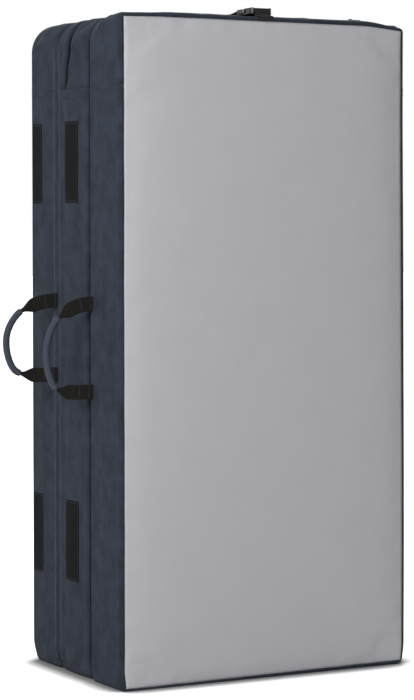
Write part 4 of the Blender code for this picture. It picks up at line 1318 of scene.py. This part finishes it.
moulded("closure_buckle_socket", "closure_buckle_female", "front_panel")
moulded("closure_buckle_plug", "closure_buckle_male", "rear_panel")
seam = panels["front"]["middle"] - half_seam
low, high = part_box("closure_buckle_female")
buckle_up = (low[2] + high[2]) / 2
lift = strap_thickness / 2 + 2 * cloth_gap
layer = strap_thickness + strap_gap
radius = wrap_radius(bar_length)
loop_y = seam + buckle_setback + half_bar
under = []
for y in spread(seam + 0.0005, loop_y - 0.003, 10):
    top = max(top_touch("front", max(y, seam + 0.002)), panel_height - 0.008)
    under.append((0.0, y, top + lift))
path = [(0.0, under[0][1] - 0.0012, under[0][2] - sewn_dip)] + under
path += [(0.0, along, up) for along, up in wrap(loop_y, buckle_up, radius, -90, 150)]
path += [(0.0, y, z + layer) for _, y, z in reversed(under[1:-2])]
piece = strip("front_closure_webbing", "closure_strap_front", smooth_route(path, 2))
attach(piece, "front_panel")

buckle_length = female_length + buckle_play + male_length
loop_y = seam + buckle_setback + buckle_length - half_bar
path = [(0.0, loop_y + strap_tail, buckle_up - radius + 2.2 * layer)]
path.append((0.0, loop_y + strap_tail / 2, buckle_up - radius + 1.8 * layer))
path.append((0.0, loop_y + 0.008, buckle_up + radius * 0.8))
path += [(0.0, along, up) for along, up in wrap(loop_y, buckle_up, radius, 90, 270)]
rest = []
end_y = panels["rear"]["middle"] + rear_half_seam
for y in spread(loop_y + 0.012, end_y - 0.0006, 40):
    name = "front" if y < -pitch / 2 else "middle" if y < pitch / 2 else "rear"
    rest.append([0.0, y, top_touch(name, min(y, end_y - 0.002)) + lift])
for step in range(1, len(rest) - 3):
    rest[step][2] = max(rest[step][2], (rest[step - 1][2] + rest[step + 1][2]) / 2)
path += rest + [(0.0, end_y + 0.0004, rest[-1][2] - sewn_dip)]
piece = strip("rear_closure_webbing", "closure_strap_rear", smooth_route(path, 2))
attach(piece, "rear_panel")

# Shoulder harness
# On the hidden rear face: a yoke patch carries two padded straps, whose webbings come back up
# through ladder-lock adjusters from tabs sewn low on the panel. Pads are foam in mesh and cloth.

strap_spacing = 0.150
pad_width = 0.066
pad_thickness = 0.012
pad_top = 0.930
pad_bottom = 0.500
pad_bow = 0.046
pad_rings = 72
pad_shares = (
    (0.0, 0.0), (0.0, 0.06), (0.14, 0.13), (0.42, 0.26), (0.80, 0.46), (0.94, 0.66), (0.66, 0.84),
    (0.36, 1.0),
)
pad_edge = (
    (-1.0, 0.34), (-0.95, 0.62), (-0.86, 0.52), (-0.5, 1.0), (0.0, 1.0), (0.5, 1.0), (0.86, 0.52),
    (0.95, 0.62), (1.0, 0.34),
)
pad_end_share = 0.45
pad_clearance = 0.0022
pad_taper = (0.026, 0.055)
pad_thread_lift = 0.0004
pad_stitch_share = 0.86
yoke_thickness = 0.0015
yoke_cut = 0.011
yoke_rows = (0.005, 0.011)
yoke_side_inset = 0.004
adjuster_length = 0.030
adjuster_thickness = 0.005
tab_height = 0.100
tab_spread = 0.360
tab_size = 0.060
tab_thickness = 0.0028
box_lift = 0.0033
cross_lift = 0.0060
lower_bow = 0.030
lower_clearance = 0.0039
lower_shares = ((0.33, 0.6), (0.67, 0.5))
trim_cloth = woven_cloth("dark_trim_cloth", "#3c404b", "#2b2e36", 0.0011, 0.8, 0.3)
pad_mesh = pile_material("dark_spacer_mesh", "#3d414b", "#1b1d22", 0.0030)


def back_touch(x, z):
    return touch("rear", (x, rear_face, z), (0.0, -1.0, 0.0))[0]


def patch_grid(low, high, cut, wide, tall):
    """Spots on the rear face under a patch whose corners are cut off."""
    grid = []
    for z in spread(low[2], high[2], tall):
        shrink = max(cut - min(z - low[2], high[2] - z), 0.0)
        row = [back_touch(x, z) for x in spread(low[0] + shrink, high[0] - shrink, wide)]
        grid.append([(spot, Vector((0.0, 1.0, 0.0))) for spot in row])
    return grid


def frame_line(low_x, high_x, low_z, high_z, lift):
    """A stitched rectangle on the rear face."""
    places = rectangle(low_x, high_x, low_z, high_z)
    return [back_touch(x, z) + Vector((0.0, lift, 0.0)) for x, z in places]


low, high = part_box("harness_yoke")
grid = patch_grid(low, high, yoke_cut, 27, 9)
piece = lay("yoke_patch", grid, yoke_thickness, trim_cloth)
dress(piece, "harness_yoke", "rear_panel")
lines = []
for inset in yoke_rows:
    ends = (low[0] + inset + yoke_side_inset, high[0] - inset - yoke_side_inset)
    ends += (low[2] + inset, high[2] - inset)
    lines.append(frame_line(*ends, yoke_thickness + 2 * cloth_gap))
stitch("yoke_stitches", lines, "rear_panel", black_thread)

shoulder_depth = rear_face + pad_clearance + pad_thickness / 2 * pad_end_share
for label, side in (("left", -1), ("right", 1)):
    body = f"{label}_shoulder"
    middle_x = side * strap_spacing / 2
    drop = pad_top - pad_bottom
    corners = []
    for out, down in pad_shares:
        corners.append((middle_x, shoulder_depth + pad_bow * out, pad_top - drop * down))
    route, length = spaced(smooth_route(corners, 8), pad_rings)
    rings = []
    edges = {-1: [], 1: []}
    across = Vector((1.0, 0.0, 0.0))
    for index, (point, along) in enumerate(zip(route, tangents(route))):
        travel = min(index, pad_rings - 1 - index) / (pad_rings - 1) * length
        full = ease((travel - pad_taper[0]) / pad_taper[1])
        share = pad_end_share + (1 - pad_end_share) * full
        half_thick = pad_thickness / 2 * share * (1 - 0.05 * abs(math.sin(travel * 32)))
        rings.append(strip_ring(point, along, across, pad_width / 2, half_thick, pad_edge))
        normal = along.cross(across).normalized()
        for hand in (-1, 1):
            edge = point + across * (hand * pad_width / 2 * pad_stitch_share)
            edges[hand].append(edge + normal * (half_thick * 0.52 + pad_thread_lift))
    pad = loft(f"{label}_shoulder_pad", rings, pad_mesh, 60)
    dress(pad, f"{label}_shoulder_strap", body)
    stitch(f"{label}_shoulder_pad_stitches", list(edges.values()), body, black_thread)
    moulded(f"{label}_ladder_lock", f"{label}_strap_adjuster", body)

    end = route[-1]
    radius = wrap_radius(adjuster_thickness)
    bar_z = end.z - 0.0009 - adjuster_length + half_bar
    tab_x = side * tab_spread / 2
    tab_top = tab_height + tab_size / 2
    path = [(middle_x, end.y + radius + 0.003, bar_z - strap_tail)]
    path.append((middle_x, end.y + radius + 0.001, bar_z - strap_tail / 2))
    path += [(middle_x, along, up) for along, up in wrap(end.y, bar_z, radius, 0, 180)]
    finish = rear_face + lower_clearance + strap_thickness / 2
    corners = [(middle_x, end.y - radius, bar_z - bar_length)]
    for down, out in lower_shares:
        across = middle_x + (tab_x - middle_x) * down
        corners.append((across, finish + lower_bow * out, bar_z - (bar_z - tab_top) * down))
    corners.append((tab_x, finish, tab_top - 0.0003))
    path += smooth_route(corners, 12) + [(tab_x, finish, tab_top - tab_size / 2)]
    node = f"{label}_lower_webbing"
    piece = strip(f"{label}_adjusting_webbing", node, path, width=webbing_width)
    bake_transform(piece)

    low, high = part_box(f"{label}_webbing_tab")
    grid = patch_grid(low, high, 0.0, 9, 13)
    for row in grid:
        narrow = ease((row[0][0].z - tab_height) / (tab_size / 2))
        narrow *= (tab_size - webbing_width) / tab_size
        for spot, _ in row:
            spot.x = tab_x + (spot.x - tab_x) * (1 - narrow)
    tab = lay(f"{label}_tab_patch", grid, tab_thickness, trim_cloth)
    dress(tab, f"{label}_webbing_tab", "rear_panel")
    box = (low[0] + 0.006, high[0] - 0.006, low[2] + 0.005, tab_height - 0.002)
    inner = (tab_x - 0.009, tab_x + 0.009, tab_height + 0.003, tab_top - 0.004)
    lines = [frame_line(*box, box_lift), frame_line(*inner, cross_lift)]
    y = lines[1][0].y
    for first, last in ((0, 1), (1, 0)):
        ends = (inner[first], y, inner[2]), (inner[last], y, inner[3])
        lines.append([Vector(point) for point in ends])
    stitch(f"{label}_tab_stitches", lines, "rear_panel", black_thread)

# Waist belt
# Two 30 mm webbings sewn to the rear face hang in a shallow curve and meet in a side-release
# buckle like the one on top.

belt_height = 0.400
belt_span = 0.340
belt_droop = 0.045
belt_tacks = (0.005, 0.018)
moulded("waist_buckle_socket", "belt_buckle_female", "waist_belt")
moulded("waist_buckle_plug", "belt_buckle_male", "waist_belt")
depth = rear_face + buckle_thickness / 2 + buckle_play
root_depth = rear_face + buckle_play + strap_thickness / 2
low_z = belt_height - belt_droop
radius = wrap_radius(bar_length)
tacks = []
for label, side in (("left", -1), ("right", 1)):
    bar_x = side * (buckle_length / 2 - half_bar)
    belt_root = side * belt_span / 2
    path = []
    for share in reversed(spread(0.0, 1.0, 25)[1:]):
        across = bar_x + (belt_root - bar_x) * share
        back = depth - radius + (root_depth - depth + radius) * share
        path.append((across, back, belt_height - belt_droop * (1 - share * share)))
    path += [(bar_x - side * out, y, low_z) for out, y in wrap(0.0, depth, radius, -90, 90)]
    path.append((bar_x + side * strap_tail / 4, depth + radius * 0.6, low_z))
    path.append((bar_x + side * strap_tail / 2, depth - radius + 2 * strap_thickness, low_z))
    piece = strip(f"{label}_waist_webbing", f"{label}_belt_webbing", path, (0, 0, 1))
    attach(piece, "waist_belt")
    outside = root_depth + strap_thickness / 2 + tack_lift
    for inset in belt_tacks:
        middle = Vector((belt_root - side * inset, outside, belt_height - 0.003))
        reach = Vector((0.0, 0.0, strap_width * 0.42))
        tacks.append(zigzag(middle - reach, middle + reach, Vector((tack_half, 0.0, 0.0)), 13))
stitch("waist_belt_bar_tacks", tacks, "waist_belt", black_thread, tack_size)

# Studio
# A plain pale floor with a painted contact shadow: seen from the camera, its colour and its glow
# go darker where something stands close to it. Soft light comes from the upper left and from
# behind, as in the photo, and the camera is the photo's camera.

floor_reach = 30.0
floor_corners = ((-1, -1), (1, -1), (1, 1), (-1, 1))
shade_reach = 0.055
open_sky = (0.60, 0.98)
white = (1.0, 1.0, 1.0, 1.0)
floor_mesh = bpy.data.meshes.new("studio_floor")
points = [(x * floor_reach, y * floor_reach, -0.0005) for x, y in floor_corners]
floor_mesh.from_pydata(points, [], [(0, 1, 2, 3)])
floor_material, tree, shader = start_material("pale_studio_floor", 0.9, 0.0)
# Painted contact shadow: near other things the occlusion factor darkens the floor's colour from
# e6e6e6 towards #989898 and dims its glow, for camera rays only.
near = add_node(tree, "ShaderNodeAmbientOcclusion", {"Distance": shade_reach}, samples=8)
unshaded_share = {"Value": near.outputs["AO"], "From Min": open_sky[0], "From Max": open_sky[1]}
unshaded_share = add_node(tree, "ShaderNodeMapRange", unshaded_share)
seen = add_node(tree, "ShaderNodeLightPath").outputs["Is Camera Ray"]
unseen = add_node(tree, "ShaderNodeMath", {0: 1.0, 1: seen}, operation="SUBTRACT")
pale = add_node(tree, "ShaderNodeMath", {0: unseen, 1: unshaded_share}, operation="MAXIMUM")
colour = {0: pale, 6: linear("#989898"), 7: linear("#e6e6e6")}
colour = add_node(tree, "ShaderNodeMix", colour, data_type="RGBA")
glow_with_painted_shade = add_node(tree, "ShaderNodeMath", {0: seen, 1: unshaded_share}, operation="MULTIPLY")
glow_with_painted_shade = {"Base Color": colour, "Emission Color": white, "Emission Strength": glow_with_painted_shade}
give(tree, shader, glow_with_painted_shade)
add_piece("studio_floor", floor_mesh, floor_material)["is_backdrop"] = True

world = bpy.data.worlds.new("studio")
bpy.context.scene.world = world
world.use_nodes = True
tree = world.node_tree
background = tree.nodes["Background"]
give(tree, background, {"Color": white, "Strength": 0.45})
rays = add_node(tree, "ShaderNodeLightPath").outputs
seen = rays["Is Camera Ray"]
for kind in ("Is Glossy Ray", "Is Transmission Ray"):
    seen = add_node(tree, "ShaderNodeMath", {0: seen, 1: rays[kind]}, operation="MAXIMUM")
shown = add_node(tree, "ShaderNodeBackground", {"Color": white, "Strength": 1.0})
mixed = add_node(tree, "ShaderNodeMixShader", {0: seen, 1: background, 2: shown})
give(tree, tree.nodes["World Output"], {"Surface": mixed})


def softbox(name, place, target, size, power):
    lamp = bpy.data.objects.new(name, bpy.data.lights.new(name, "AREA"))
    lamp.data.size = size
    lamp.data.energy = power
    lamp.location = place
    lamp.rotation_euler = (Vector(target) - Vector(place)).to_track_quat("-Z", "Y").to_euler()
    bpy.context.scene.collection.objects.link(lamp)


softbox("key_light", (-2.0, -1.3, 1.6), (-0.1, -0.1, 0.6), 1.0, 42.0)
softbox("back_light", (1.9, 2.3, 1.9), (0.1, 0.0, 0.6), 1.6, 36.0)

picture_height = 700
focal_pixels = 2442
sensor_width = 36.0
camera = bpy.data.objects.new("camera", bpy.data.cameras.new("camera"))
bpy.context.scene.collection.objects.link(camera)
camera.data.sensor_width = sensor_width
camera.data.lens = focal_pixels / picture_height * sensor_width
camera.location = (-2.095, -3.7974, 0.779)
camera.rotation_euler = (math.radians(87.07), 0.0, math.radians(-28.7))
bpy.context.scene.camera = camera
bpy.context.scene.view_settings.view_transform = "Standard"

visual_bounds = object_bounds()
sizes = {
    "cad": [list(corner) for corner in cad_bounds],
    "visual": [list(corner) for corner in visual_bounds],
}
